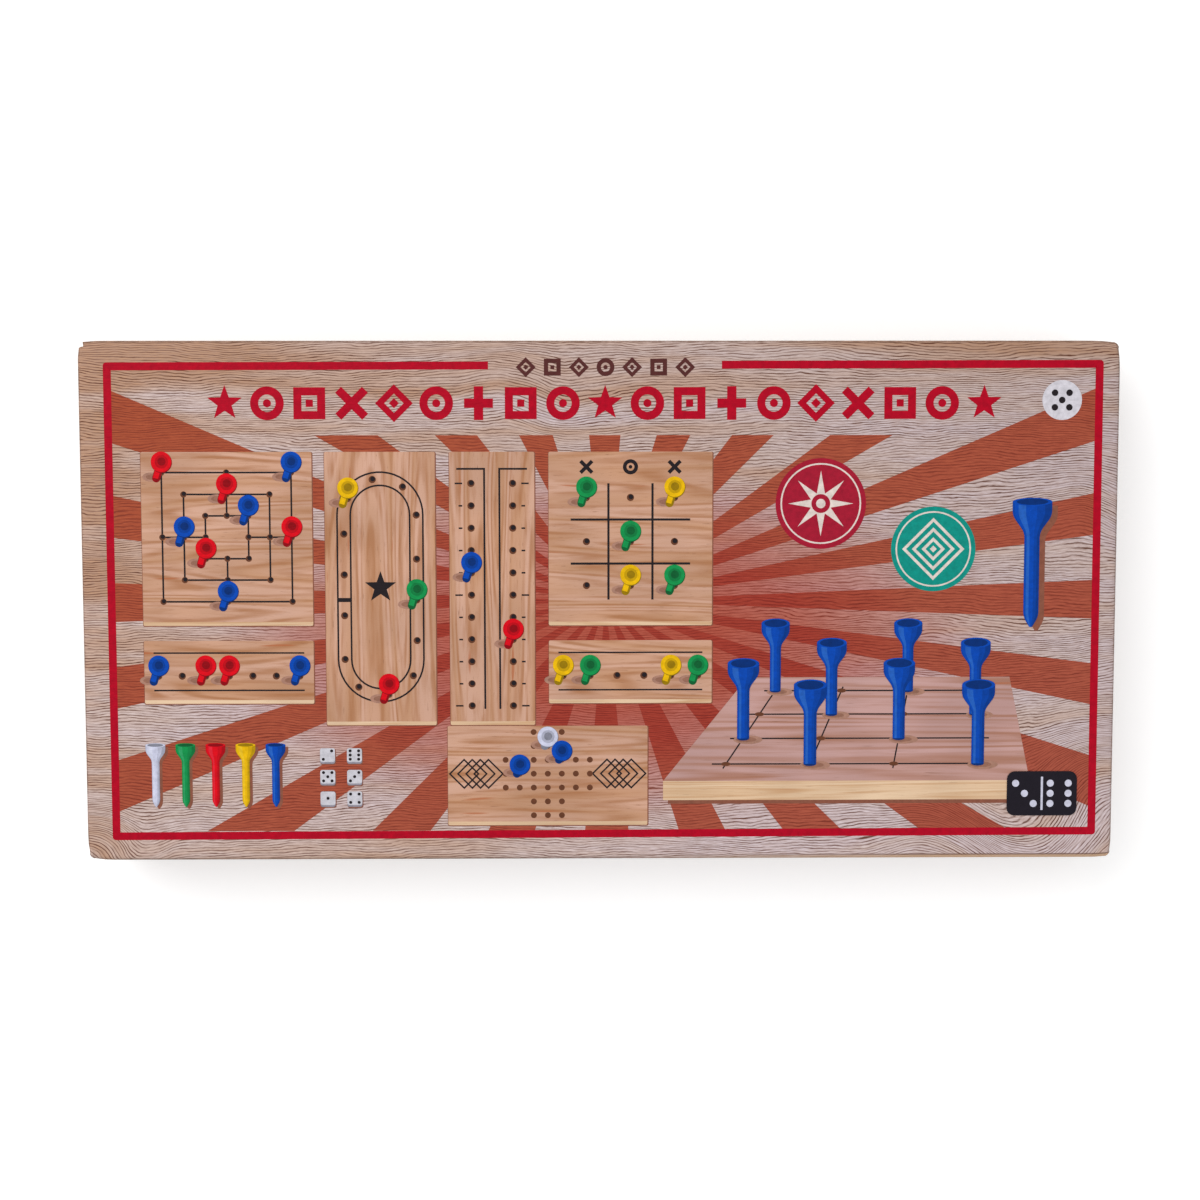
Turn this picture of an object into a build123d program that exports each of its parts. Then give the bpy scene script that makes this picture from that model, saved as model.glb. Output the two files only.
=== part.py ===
"""Boxed set of wooden peg-board games: a folded corrugated lid and base, slotted partitions,
seven drilled boards in two layers, cup-headed pegs in five colours, six dice and a rules leaflet.

Millimetres, +Z up. The origin is the middle of the base's underside, on the surface it stands on.
X runs along the box's length and Y across it. The box is sized from what it has to hold.
"""

from build123d import *
import math
import os

os.makedirs("parts", exist_ok=True)

# ---------------------------------------------------------------------------------------------
# Driving dimensions
# ---------------------------------------------------------------------------------------------

# Corrugated board of the lid, the base and the partitions
sheet = 1.5              # thickness of the board
fold_radius = 1.8        # outside radius of a fold along the panel's edges
tab_sheet = 1.0          # a glue tab, where the board is crushed flat
tab_length = 28.0        # how far a glue tab runs along the wall it is glued to
tab_taper = 3.0          # how much a glue tab narrows, above and below, towards its free end
corner_relief = 2.4      # cut across the panel's corner, where two folds meet
corner_groove = 0.9      # groove between a wall's raw end and the fold beside it
base_reveal = 5.0        # how much of the base shows below the lid
lid_clearance = 0.6      # between the base's wall and the lid, each side

# Clearances
rest_gap = 0.2           # between a piece and what it lies on
board_gap = 0.5          # between neighbouring boards
bay_spare = 1.1          # left over along the board bay
end_clearance = 2.4      # between a long board's end and the glue tabs
row_clearance = 0.4      # between a row of pegs and the bay's walls
cell_clearance = 0.5     # between a lying peg's end and the partition
slot_clearance = 0.15    # between a partition and the slot it sits in
wall_clearance = 0.3     # between a partition's end and the base's wall
head_space = 5.12        # above the upper layer of pegs

# Boards
board_thickness = 10.0
board_corner = 1.5       # radius of a board's corners
board_edge = 0.5         # small bevel round a board's top and bottom
hole_diameter = 4.7
hole_depth = 7.5
long_board_length = 150.0

track_width = 66.0
track_radius = 25.5      # radius of the oval's round ends
track_straight = 65.0    # length of the oval's straight sides
track_holes = 12

ladder_width = 46.0
ladder_columns = 26.0    # distance between the two columns
ladder_pitch = 11.8
ladder_holes = 10

number_row_width = 44.0
number_row_pitch = 11.8
number_row_holes = 10
number_row_shift = 9.0   # how far the row lies from the board's middle

swap_row_width = 34.0
swap_row_pitch = 13.5
swap_row_holes = 10

star_side = 97.0
star_radius = 29.0
star_holes = 8
star_shift = 11.0        # how far the ring lies below the board's middle

grid_width = 87.0
grid_length = 95.0
grid_pitch_x = 25.5
grid_pitch_y = 23.5
grid_holes = 3

triangle_side = 135.0
triangle_corner = 3.0
triangle_pitch = 22.0
triangle_holes = 5       # holes along one side

# Pegs
peg_length = 36.0
head_diameter = 11.4
shaft_diameter = 4.4
rim_height = 4.0         # the straight part of the head
cone_height = 4.8        # the taper from head to shaft
point_length = 3.0
point_diameter = 1.4
cup_mouth = 9.2          # the hollow in the head: its width at the mouth,
cup_bottom = 3.0         # at its bottom,
cup_depth = 5.5          # and its depth
pegs_per_colour = 6
peg_gap = 0.1            # between one peg's head and the next one's shaft
peg_colours = ("red", "yellow", "green", "blue", "white")

# Dice
die_size = 8.0
die_rounding = 1.5       # diameter of the ball that rounds a die's corners, per side length
pip_diameter = 1.5
pip_depth = 0.5
pip_pitch = 2.1
dice_pitch_x = 14.0
dice_pitch_y = 13.0
dice_turns = (8, -14, 24, -31, 12, -6)   # how each die has come to lie, degrees
dice_columns = 3

# Rules leaflet, a sheet folded once
leaflet_length = 140.0
leaflet_width = 95.0
leaf_thickness = 0.4
leaf_gap = 0.2

# Partitions
partition_height = 23.0
tongue_height = 12.0     # the tongue that drops into the long partition's slot

# ---------------------------------------------------------------------------------------------
# Sizes that follow from those
# ---------------------------------------------------------------------------------------------

head_radius = head_diameter / 2
shaft_radius = shaft_diameter / 2
rim_start = peg_length - rim_height
cone_start = rim_start - cone_height

# A lying peg rests on its head's lower edge and on the shoulder of its point.
lie_angle = math.atan2(head_radius - shaft_radius, rim_start - point_length)
lie_tip = shaft_radius * math.cos(lie_angle) - point_length * math.sin(lie_angle)
peg_span = peg_length * math.cos(lie_angle) + (head_radius + point_diameter / 2) * math.sin(lie_angle)
peg_layer = head_diameter / math.cos(lie_angle) + rest_gap
peg_stack = (rest_gap + lie_tip + peg_length * math.sin(lie_angle)
             + head_radius * math.cos(lie_angle) + peg_layer)
peg_pitch = head_radius + shaft_radius + peg_gap

leaflet_height = 2 * leaf_thickness + leaf_gap
board_stack = 2 * (rest_gap + board_thickness) + rest_gap + leaflet_height

bottom_row = track_width + ladder_width + number_row_width + grid_width + 5 * board_gap
top_row = triangle_side + star_side + swap_row_width + 4 * board_gap
board_bay = max(bottom_row, top_row) + bay_spare
peg_bay = (pegs_per_colour - 1) * peg_pitch + head_diameter + 2 * row_clearance
cell_rows = 4
cell_need = peg_span + 2 * cell_clearance

inner_length = board_bay + sheet + peg_bay
between_tabs = max(long_board_length + 2 * end_clearance,
                   cell_rows * cell_need + (cell_rows - 1) * sheet)
inner_width = between_tabs + 2 * tab_sheet
inner_height = max(board_stack, peg_stack, rest_gap + partition_height) + head_space

base_length = inner_length + 2 * sheet
base_width = inner_width + 2 * sheet
base_height = sheet + inner_height
lid_length = base_length + 2 * (lid_clearance + sheet)
lid_width = base_width + 2 * (tab_sheet + lid_clearance + sheet)
box_height = base_height + rest_gap + sheet
lid_depth = box_height - base_reveal

left = -inner_length / 2            # the base's inner end wall at the boards
right = inner_length / 2            # and at the pegs
front = -between_tabs / 2           # the glue tabs' inner faces
partition_x = left + board_bay      # the long partition's face on the boards' side
cell_length = (between_tabs - (cell_rows - 1) * sheet) / cell_rows
bottom_z = sheet + rest_gap                          # underside of the lower layer
top_z = bottom_z + board_thickness + rest_gap        # underside of the upper layer
leaflet_z = top_z + board_thickness + rest_gap


# ---------------------------------------------------------------------------------------------
# Folded shells
# ---------------------------------------------------------------------------------------------

def glue_tab(length, width, height):
    """The tab at the corner +X +Y: it hangs on the end wall and is glued inside the long wall."""
    hinge = length / 2 - sheet
    free = hinge - tab_length
    side = Polyline(
        (hinge, sheet), (hinge, height), (free, height - tab_taper), (free, sheet + tab_taper), close=True
    )
    panel = extrude(Plane.XZ * make_face(side), tab_sheet)
    return Pos(0, width / 2 - sheet, 0) * panel


def folded_tray(length, width, height):
    """One blank folded up into a tray, standing on its panel, with a glue tab in each corner."""
    outer = Box(length, width, height, align=(Align.CENTER, Align.CENTER, Align.MIN))
    outer = fillet(outer.faces().sort_by(Axis.Z)[0].edges(), fold_radius)
    hollow = Box(length - 2 * sheet, width - 2 * sheet, height,
                 align=(Align.CENTER, Align.CENTER, Align.MIN))
    tray = outer - Pos(0, 0, sheet) * hollow

    x, y = length / 2, width / 2
    groove = Polyline((x, y - sheet), (x, y - sheet - corner_groove),
                      (x - corner_groove, y - sheet), close=True)
    relief = Polyline((x, y), (x - corner_relief, y), (x, y - corner_relief), close=True)
    tab = glue_tab(length, width, height)
    cuts = extrude(make_face(groove), height) + extrude(make_face(relief), fold_radius + sheet / 2)
    for corner in ((False, False), (True, False), (False, True), (True, True)):
        added, removed = tab, cuts
        for flip, plane in zip(corner, (Plane.YZ, Plane.XZ)):
            if flip:
                added, removed = mirror(added, plane), mirror(removed, plane)
        tray = tray + added - removed
    return tray


def base():
    return folded_tray(base_length, base_width, base_height)


def lid():
    return Pos(0, 0, box_height) * (Rot(180, 0, 0) * folded_tray(lid_length, lid_width, lid_depth))


# ---------------------------------------------------------------------------------------------
# Slotted partitions
# ---------------------------------------------------------------------------------------------

def cross_y(number):
    """Middle of the cross partition with this number, counted from the front."""
    return front + number * cell_length + (number - 0.5) * sheet


def long_partition():
    plate = Box(sheet, inner_width - 2 * wall_clearance, partition_height,
                align=(Align.MIN, Align.CENTER, Align.MIN))
    slot = Box(sheet, sheet + 2 * slot_clearance, tongue_height + slot_clearance,
               align=(Align.MIN, Align.CENTER, Align.MAX))
    for number in range(1, cell_rows):
        plate -= Pos(0, cross_y(number), partition_height) * slot
    return Pos(partition_x, 0, bottom_z) * plate


def cross_partition(number):
    """A plate across the peg bay, whose tongue lies flush in the long partition's slot."""
    start = partition_x + sheet + slot_clearance
    plate = Box(right - wall_clearance - start, sheet, partition_height,
                align=(Align.MIN, Align.CENTER, Align.MIN))
    tongue = Box(sheet + slot_clearance, sheet, tongue_height,
                 align=(Align.MAX, Align.CENTER, Align.MAX))
    return Pos(start, cross_y(number), bottom_z) * (plate + Pos(0, 0, partition_height) * tongue)


# ---------------------------------------------------------------------------------------------
# Boards
# ---------------------------------------------------------------------------------------------

def peg_board(outline, holes):
    """A board of this outline, its edges broken, with a blind hole at each place in holes."""
    board = extrude(outline, board_thickness)
    flats = board.faces().filter_by(Axis.Z)
    board = chamfer(flats.edges(), board_edge)
    drill = Cylinder(hole_diameter / 2, hole_depth, align=(Align.CENTER, Align.CENTER, Align.MAX))
    return board - [Pos(x, y, board_thickness) * drill for x, y in holes]


def oblong(width, length):
    return fillet(Rectangle(width, length).vertices(), board_corner)


def spread(count, pitch):
    """Places of count copies, pitch apart, about zero."""
    return [(i - (count - 1) / 2) * pitch for i in range(count)]


def track_board():
    """Holes evenly along an oval, the first at the middle of its far end."""
    turn = math.pi * track_radius
    lap = 2 * (track_straight + turn)
    holes = []
    for i in range(track_holes):
        way = (lap * i / track_holes + turn / 2) % lap   # from the start of the far round end
        half, part = divmod(way, lap / 2)
        if part < turn:
            angle = math.pi - part / track_radius
            x = track_radius * math.cos(angle)
            y = track_straight / 2 + track_radius * math.sin(angle)
        else:
            x = track_radius
            y = track_straight / 2 - (part - turn)
        holes.append((x, y) if half == 0 else (-x, -y))
    return peg_board(oblong(track_width, long_board_length), holes)


def ladder_board():
    """Two columns of holes side by side."""
    holes = [(x, y) for x in spread(2, ladder_columns) for y in spread(ladder_holes, ladder_pitch)]
    return peg_board(oblong(ladder_width, long_board_length), holes)


def number_row_board():
    """One row of holes near a long edge, beside the space for the rules."""
    holes = [(number_row_shift, y) for y in spread(number_row_holes, number_row_pitch)]
    return peg_board(oblong(number_row_width, long_board_length), holes)


def swap_row_board():
    """One row of holes along the middle."""
    holes = [(0, y) for y in spread(swap_row_holes, swap_row_pitch)]
    return peg_board(oblong(swap_row_width, long_board_length), holes)


def star_board():
    """A ring of holes, the points of a star."""
    steps = [2 * math.pi * i / star_holes for i in range(star_holes)]
    holes = [(star_radius * math.sin(a), star_radius * math.cos(a) - star_shift) for a in steps]
    return peg_board(oblong(star_side, star_side), holes)


def grid_board():
    """Three rows of three holes."""
    holes = [(x, y) for x in spread(grid_holes, grid_pitch_x) for y in spread(grid_holes, grid_pitch_y)]
    return peg_board(oblong(grid_width, grid_length), holes)


def triangle_board():
    """Rows of one to five holes, their middle over the board's middle."""
    height = triangle_side * math.sqrt(3) / 2
    third = height / 3
    outline = make_face(Polyline((-triangle_side / 2, -third), (triangle_side / 2, -third),
                                 (0, height - third), close=True))
    outline = fillet(outline.vertices(), triangle_corner)
    row_pitch = triangle_pitch * math.sqrt(3) / 2
    top_row_y = row_pitch * (triangle_holes - 1) * 2 / 3
    holes = [(x, top_row_y - row * row_pitch)
             for row in range(triangle_holes) for x in spread(row + 1, triangle_pitch)]
    return peg_board(outline, holes)


def boards():
    """Each board with the place of its middle: four in the lower layer, three in the upper."""
    track_x = left + board_gap + track_width / 2
    ladder_x = track_x + (track_width + ladder_width) / 2 + board_gap
    grid_x = partition_x - board_gap - grid_width / 2
    number_row_x = grid_x - (grid_width + number_row_width) / 2 - board_gap
    swap_row_x = partition_x - board_gap - swap_row_width / 2
    star_x = swap_row_x - (swap_row_width + star_side) / 2 - board_gap
    triangle_x = star_x - (star_side + triangle_side) / 2 - board_gap
    near = front + board_gap
    triangle_y = near + triangle_side * math.sqrt(3) / 6
    return {
        "track_board": Pos(track_x, 0, bottom_z) * track_board(),
        "ladder_board": Pos(ladder_x, 0, bottom_z) * ladder_board(),
        "number_row_board": Pos(number_row_x, 0, bottom_z) * number_row_board(),
        "grid_board": Pos(grid_x, near + grid_length / 2, bottom_z) * grid_board(),
        "triangle_board": Pos(triangle_x, triangle_y, top_z) * triangle_board(),
        "star_board": Pos(star_x, near + star_side / 2, top_z) * star_board(),
        "swap_row_board": Pos(swap_row_x, 0, top_z) * swap_row_board(),
    }


def rules_leaflet():
    """A sheet folded once, its fold on the left, lying on the upper boards."""
    outline = Rectangle(leaflet_length, leaflet_height)
    outline = fillet(outline.vertices().sort_by(Axis.X)[:2], leaflet_height * 0.49)
    inside = Rectangle(leaflet_length - leaf_thickness, leaf_gap)
    outline -= Pos(leaf_thickness / 2, 0) * inside
    folded = extrude(Plane.XZ * outline, leaflet_width)
    swap_row_left = partition_x - board_gap - swap_row_width
    place_x = swap_row_left - board_gap - leaflet_length / 2
    return Pos(place_x, front + board_gap + leaflet_width, leaflet_z + leaflet_height / 2) * folded


# ---------------------------------------------------------------------------------------------
# Pegs and dice
# ---------------------------------------------------------------------------------------------

def peg():
    """A turned peg standing on its point: shaft, taper, rim, and the cup in its head."""
    profile = Polyline(
        (0, 0), (point_diameter / 2, 0), (shaft_radius, point_length), (shaft_radius, cone_start),
        (head_radius, rim_start), (head_radius, peg_length), (cup_mouth / 2, peg_length),
        (cup_bottom / 2, peg_length - cup_depth), (0, peg_length - cup_depth), close=True
    )
    return revolve(Plane.XZ * make_face(profile), Axis.Z)


def lying_pegs(cell, layer):
    """Six pegs side by side, head and point by turns, in a cell counted from the front."""
    middle = front + (cell + 0.5) * cell_length + cell * sheet
    first_x = partition_x + sheet + row_clearance + head_radius
    tip_z = bottom_z + lie_tip + layer * peg_layer
    lean = 90 - math.degrees(lie_angle)
    one = peg()
    pegs = []
    for i in range(pegs_per_colour):
        way = 1 if i % 2 == 0 else -1
        tip_y = middle - way * (peg_span / 2 - point_diameter / 2 * math.sin(lie_angle))
        pegs.append(Pos(first_x + i * peg_pitch, tip_y, tip_z) * (Rot(-way * lean, 0, 0) * one))
    return Compound(children=pegs)


def pip_places(count):
    """Where the pips of one face lie, by the usual patterns."""
    corners = [(-1, -1), (1, 1), (-1, 1), (1, -1), (-1, 0), (1, 0)]
    places = corners[: count - count % 2] + [(0, 0)] * (count % 2)
    return [(x * pip_pitch, y * pip_pitch) for x, y in places]


def die():
    """A cube rounded by a ball, with drilled pips; opposite faces add up to seven."""
    half = die_size / 2
    body = Box(die_size, die_size, die_size) & Sphere(half * die_rounding)
    drill = Cone(0, pip_diameter / 2, pip_depth, align=(Align.CENTER, Align.CENTER, Align.MAX))
    turns = {1: (0, 0), 6: (180, 0), 2: (90, 0), 5: (-90, 0), 3: (0, 90), 4: (0, -90)}
    pips = [Rot(rx, ry, 0) * (Pos(x, y, half) * drill)
            for count, (rx, ry) in turns.items() for x, y in pip_places(count)]
    return body - pips


def dice():
    """Six dice in the last cell, each with another face up."""
    middle_x = (partition_x + sheet + right) / 2
    middle_y = front + (cell_rows - 0.5) * cell_length + (cell_rows - 1) * sheet
    tips = ((0, 0), (90, 0), (0, 90), (0, -90), (-90, 0), (180, 0))
    one = die()
    placed = {}
    for i, (turn, (rx, ry)) in enumerate(zip(dice_turns, tips)):
        row, column = divmod(i, dice_columns)
        x = middle_x + spread(dice_columns, dice_pitch_x)[column]
        y = middle_y + spread(2, dice_pitch_y)[row]
        place = Pos(x, y, bottom_z + die_size / 2) * Rot(0, 0, turn) * Rot(rx, ry, 0)
        placed[f"die_{i + 1}"] = place * one
    return placed


# ---------------------------------------------------------------------------------------------
# All the pieces
# ---------------------------------------------------------------------------------------------

pieces = {"base": base(), "lid": lid(), "long_partition": long_partition()}
for number in range(1, cell_rows):
    pieces[f"cross_partition_{number}"] = cross_partition(number)
pieces.update(boards())
pieces["rules_leaflet"] = rules_leaflet()
for i, colour in enumerate(peg_colours):
    pieces[f"{colour}_pegs"] = lying_pegs(i // 2, i % 2)
pieces.update(dice())

for name, shape in pieces.items():
    export_step(shape, f"parts/{name}.step")

print(f"lid {lid_length:.2f} x {lid_width:.2f}, box height {box_height:.2f}")
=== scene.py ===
# %% [markdown]
# # A boxed set of peg-board games
# The box is made the way a carton maker makes it: a flat blank is printed, cut and folded into a
# lid, and a second, plain blank into the base. Inside lie sanded pine boards, moulded pegs, dice
# and a leaflet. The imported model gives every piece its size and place. Here each piece gets the
# surface it has in the hand.

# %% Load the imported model
import math

import bmesh
import bpy
import numpy as np
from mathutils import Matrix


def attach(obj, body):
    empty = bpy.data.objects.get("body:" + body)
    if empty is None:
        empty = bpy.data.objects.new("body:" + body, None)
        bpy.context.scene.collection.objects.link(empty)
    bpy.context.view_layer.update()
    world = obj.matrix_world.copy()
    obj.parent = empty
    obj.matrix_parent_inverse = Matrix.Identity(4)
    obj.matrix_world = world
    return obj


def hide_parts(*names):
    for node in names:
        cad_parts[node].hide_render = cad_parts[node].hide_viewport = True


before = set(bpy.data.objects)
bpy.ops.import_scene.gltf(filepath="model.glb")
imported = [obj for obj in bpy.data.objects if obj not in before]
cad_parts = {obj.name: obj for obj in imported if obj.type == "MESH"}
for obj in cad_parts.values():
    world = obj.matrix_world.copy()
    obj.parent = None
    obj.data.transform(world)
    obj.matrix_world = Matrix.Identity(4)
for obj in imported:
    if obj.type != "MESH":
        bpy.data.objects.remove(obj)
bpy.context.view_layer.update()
MM = 0.001                        # the scene counts in metres, this file in millimetres
BOX_LENGTH, BOX_WIDTH, BOX_TOP = 330.0, 166.0, 32.0

# %% [markdown]
# ## Patches
# A patch is a pair: an array of points in millimetres, and a list of faces that index them. Nearly
# every surface here is a grid of points worked out at once, so the faces follow from the grid's
# rows and columns. A flat patch has two numbers to a point and gets its height later.

# %% Patches from grids and outlines
STEP = 4.0                        # the widest gap between points, so that a flat shape can be bowed


def grid(points, around=False):
    """Quads between the neighbours in an array of rows by columns of points; around closes the last
    column on the first."""
    rows, columns = points.shape[:2]
    index = np.arange(rows * columns).reshape(rows, columns)
    if around:
        index = np.hstack([index, index[:, :1]])
    corners = [index[:-1, :-1], index[:-1, 1:], index[1:, 1:], index[1:, :-1]]
    return points.reshape(-1, points.shape[-1]), np.stack(corners, -1).reshape(-1, 4).tolist()


def fan(outline):
    """Fills a flat outline: each ring is the outline drawn in to the centre by an even share of the
    way."""
    outline = np.asarray(outline, float)
    centre = outline.mean(0)
    reach = np.linalg.norm(outline - centre, axis=1).max()
    rings = max(2, math.ceil(reach / STEP))
    share = (np.arange(rings) + 1)[:, None, None] / rings
    points = (centre + share * (outline - centre)).reshape(-1, 2)
    index = np.arange(len(points)).reshape(rings, -1) + 1
    index = np.hstack([index, index[:, :1]])
    tips = np.stack([0 * index[0, 1:], index[0, :-1], index[0, 1:]], -1)
    quads = np.stack([index[:-1, :-1], index[1:, :-1], index[1:, 1:], index[:-1, 1:]], -1)
    return np.vstack([centre, points]), tips.tolist() + quads.reshape(-1, 4).tolist()


def filled(shape):
    """A flat shape as a patch: an outline is filled, a patch stays as it is."""
    return shape if isinstance(shape, tuple) else fan(shape)


def joined(patches):
    """One patch of several, each one's face numbers moved on past the points before it."""
    points, faces, start = [], [], 0
    for some, those in patches:
        points.append(some)
        faces += [[i + start for i in face] for face in those]
        start += len(some)
    return np.vstack(points), faces


def moved(patch, by):
    """The patch shifted by a vector of as many numbers as its points have."""
    return patch[0] + np.asarray(by, float), patch[1]


def turned_over(patch):
    """The patch with its faces looking the other way."""
    return patch[0], [face[::-1] for face in patch[1]]


# %% [markdown]
# A patch becomes a mesh object in one step. Each finished object is then told which body it rides
# on.

# %% From patches to pieces
def new_item(name, patch, materials):
    """A mesh object in the scene, with a slot for each material."""
    points, faces = patch
    mesh = bpy.data.meshes.new(name)
    mesh.from_pydata((points * MM).tolist(), [], faces)
    for material in materials:
        mesh.materials.append(material)
    item = bpy.data.objects.new(name, mesh)
    bpy.context.scene.collection.objects.link(item)
    return item


def piece(name, patch, materials, body, *, sharp, merge=0.0):
    """A mesh object that rides on a body; edges sharper than the angle stay crisp."""
    item = new_item(name, patch, materials)
    if merge:
        weld(item.data, merge)
    smooth(item.data, sharp)
    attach(item, body)
    return item


def points_of(mesh):
    """The mesh's points as rows of x, y and z, in the mesh's own unit."""
    points = np.zeros(len(mesh.vertices) * 3)
    mesh.vertices.foreach_get("co", points)
    return points.reshape(-1, 3)


def weld(mesh, distance):
    """Joins points that lie together, such as those where two grids meet."""
    work = bmesh.new()
    work.from_mesh(mesh)
    bmesh.ops.remove_doubles(work, verts=work.verts, dist=distance * MM)
    work.to_mesh(mesh)
    work.free()


def smooth(mesh, sharp):
    """Shades the mesh smooth, apart from edges that turn by more than so many degrees."""
    mesh.polygons.foreach_set("use_smooth", np.ones(len(mesh.polygons), bool))
    mesh.set_sharp_from_angle(angle=math.radians(sharp))
    mesh.update()


# %% [markdown]
# ## Outlines
# The print is made of flat shapes. Each is an outline, a closed run of points in millimetres,
# counted anticlockwise, so that the faces that fill it look up.

# %% Outlines of the printed shapes
def dense(outline, step=STEP):
    """The closed outline with points added along its long sides, so that it can follow a bowed
    panel."""
    outline = np.asarray(outline, float)
    runs = []
    for a, b in zip(outline, np.roll(outline, -1, 0)):
        count = max(1, math.ceil(np.linalg.norm(b - a) / step))
        runs.append(a + (b - a) * (np.arange(count) / count)[:, None])
    return np.vstack(runs)


def circle(x, y, radius, sides=40, squash=1.0, start=0.0):
    """A circle, or an ellipse squash times as high as it is wide. The first point is at start
    degrees."""
    turn = math.radians(start) + np.arange(sides) * 2 * math.pi / sides
    return np.stack([x + radius * np.cos(turn), y + squash * radius * np.sin(turn)], -1)


def oblong(x, y, width, height, radius):
    """A rectangle about x, y with a quarter circle at each corner."""
    turn = np.linspace(0, math.pi / 2, 5)
    corners = []
    for i, (sx, sy) in enumerate(((1, 1), (-1, 1), (-1, -1), (1, -1))):
        middle = (x + sx * (width / 2 - radius), y + sy * (height / 2 - radius))
        angle = turn + i * math.pi / 2
        corners.append(middle + radius * np.stack([np.cos(angle), np.sin(angle)], -1))
    return dense(np.vstack(corners))


def spiked(x, y, outer, inner, spikes, start=90.0):
    """A star: its points lie on the outer circle, the notches between them on the inner one."""
    turn = math.radians(start) + np.arange(2 * spikes) * math.pi / spikes
    radius = np.where(np.arange(2 * spikes) % 2, inner, outer)
    return np.stack([x + radius * np.cos(turn), y + radius * np.sin(turn)], -1)


def regular(x, y, radius, sides, start=90.0):
    """A polygon of equal sides with one corner at start degrees; the radius reaches to its
    corners."""
    return dense(circle(x, y, radius, sides, start=start))


def square(x, y, half):
    """An upright square, half from its middle to a side."""
    return regular(x, y, half * 2 ** 0.5, 4, 45)


def rounded(corners, radius):
    """The open run of corners with each inner one replaced by a curve that starts radius before
    it."""
    corners = np.asarray(corners, float)
    run = [corners[0]]
    for before, at, after in zip(corners, corners[1:], corners[2:]):
        a, b = before - at, after - at
        length_a, length_b = np.linalg.norm(a), np.linalg.norm(b)
        start = at + a / length_a * min(radius, length_a * 0.45)
        stop = at + b / length_b * min(radius, length_b * 0.45)
        t = np.linspace(0, 1, 5)[:, None]
        run += list((1 - t) ** 2 * start + 2 * t * (1 - t) * at + t ** 2 * stop)
    return np.array(run + [corners[-1]])


def ribbon(path, width, closed=False):
    """A line of ink: the path moved sideways by half the width each way, along its mitred
    normals."""
    path = np.asarray(path, float)
    if closed:
        path = dense(path)
        ahead, behind = np.roll(path, -1, 0), np.roll(path, 1, 0)
    else:
        counts = [math.ceil(np.linalg.norm(b - a) / STEP) + 1 for a, b in zip(path, path[1:])]
        runs = [a + (b - a) * np.linspace(0, 1, max(2, count))[:-1, None]
                for a, b, count in zip(path, path[1:], counts)]
        path = np.vstack(runs + [path[-1:]])
        ahead, behind = np.vstack([path[1:], path[-1:]]), np.vstack([path[:1], path[:-1]])
    before, after = path - behind, ahead - path
    if not closed:
        before[0], after[-1] = after[0], before[-1]
    before /= np.linalg.norm(before, axis=1)[:, None]
    after /= np.linalg.norm(after, axis=1)[:, None]
    mean = before + after
    mean /= np.linalg.norm(mean, axis=1)[:, None]
    stretch = 1 / np.maximum(0.5, (mean * after).sum(1))
    normal = np.stack([-mean[:, 1], mean[:, 0]], -1) * stretch[:, None] * width / 2
    return grid(np.stack([path - normal, path + normal]), around=closed)


# %% [markdown]
# ## Finishes
# Each finish is a node tree on the Principled shader. A small builder keeps the trees readable: it
# adds a node, sets its inputs to numbers or joins them to other nodes, and returns the output that
# matters. Colours are written as they read on an ordinary chart, from 0 to 255.

# %% The finish builder
def rgb(red, green, blue):
    """A chart colour turned into the linear values that shaders use."""
    share = np.array([red, green, blue]) / 255
    linear = np.where(share <= 0.04045, share / 12.92, ((share + 0.055) / 1.055) ** 2.4)
    return (*linear.tolist(), 1.0)


def toned(colour, share):
    """A chart colour with so much of its light."""
    return tuple(c * share for c in colour)


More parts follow.
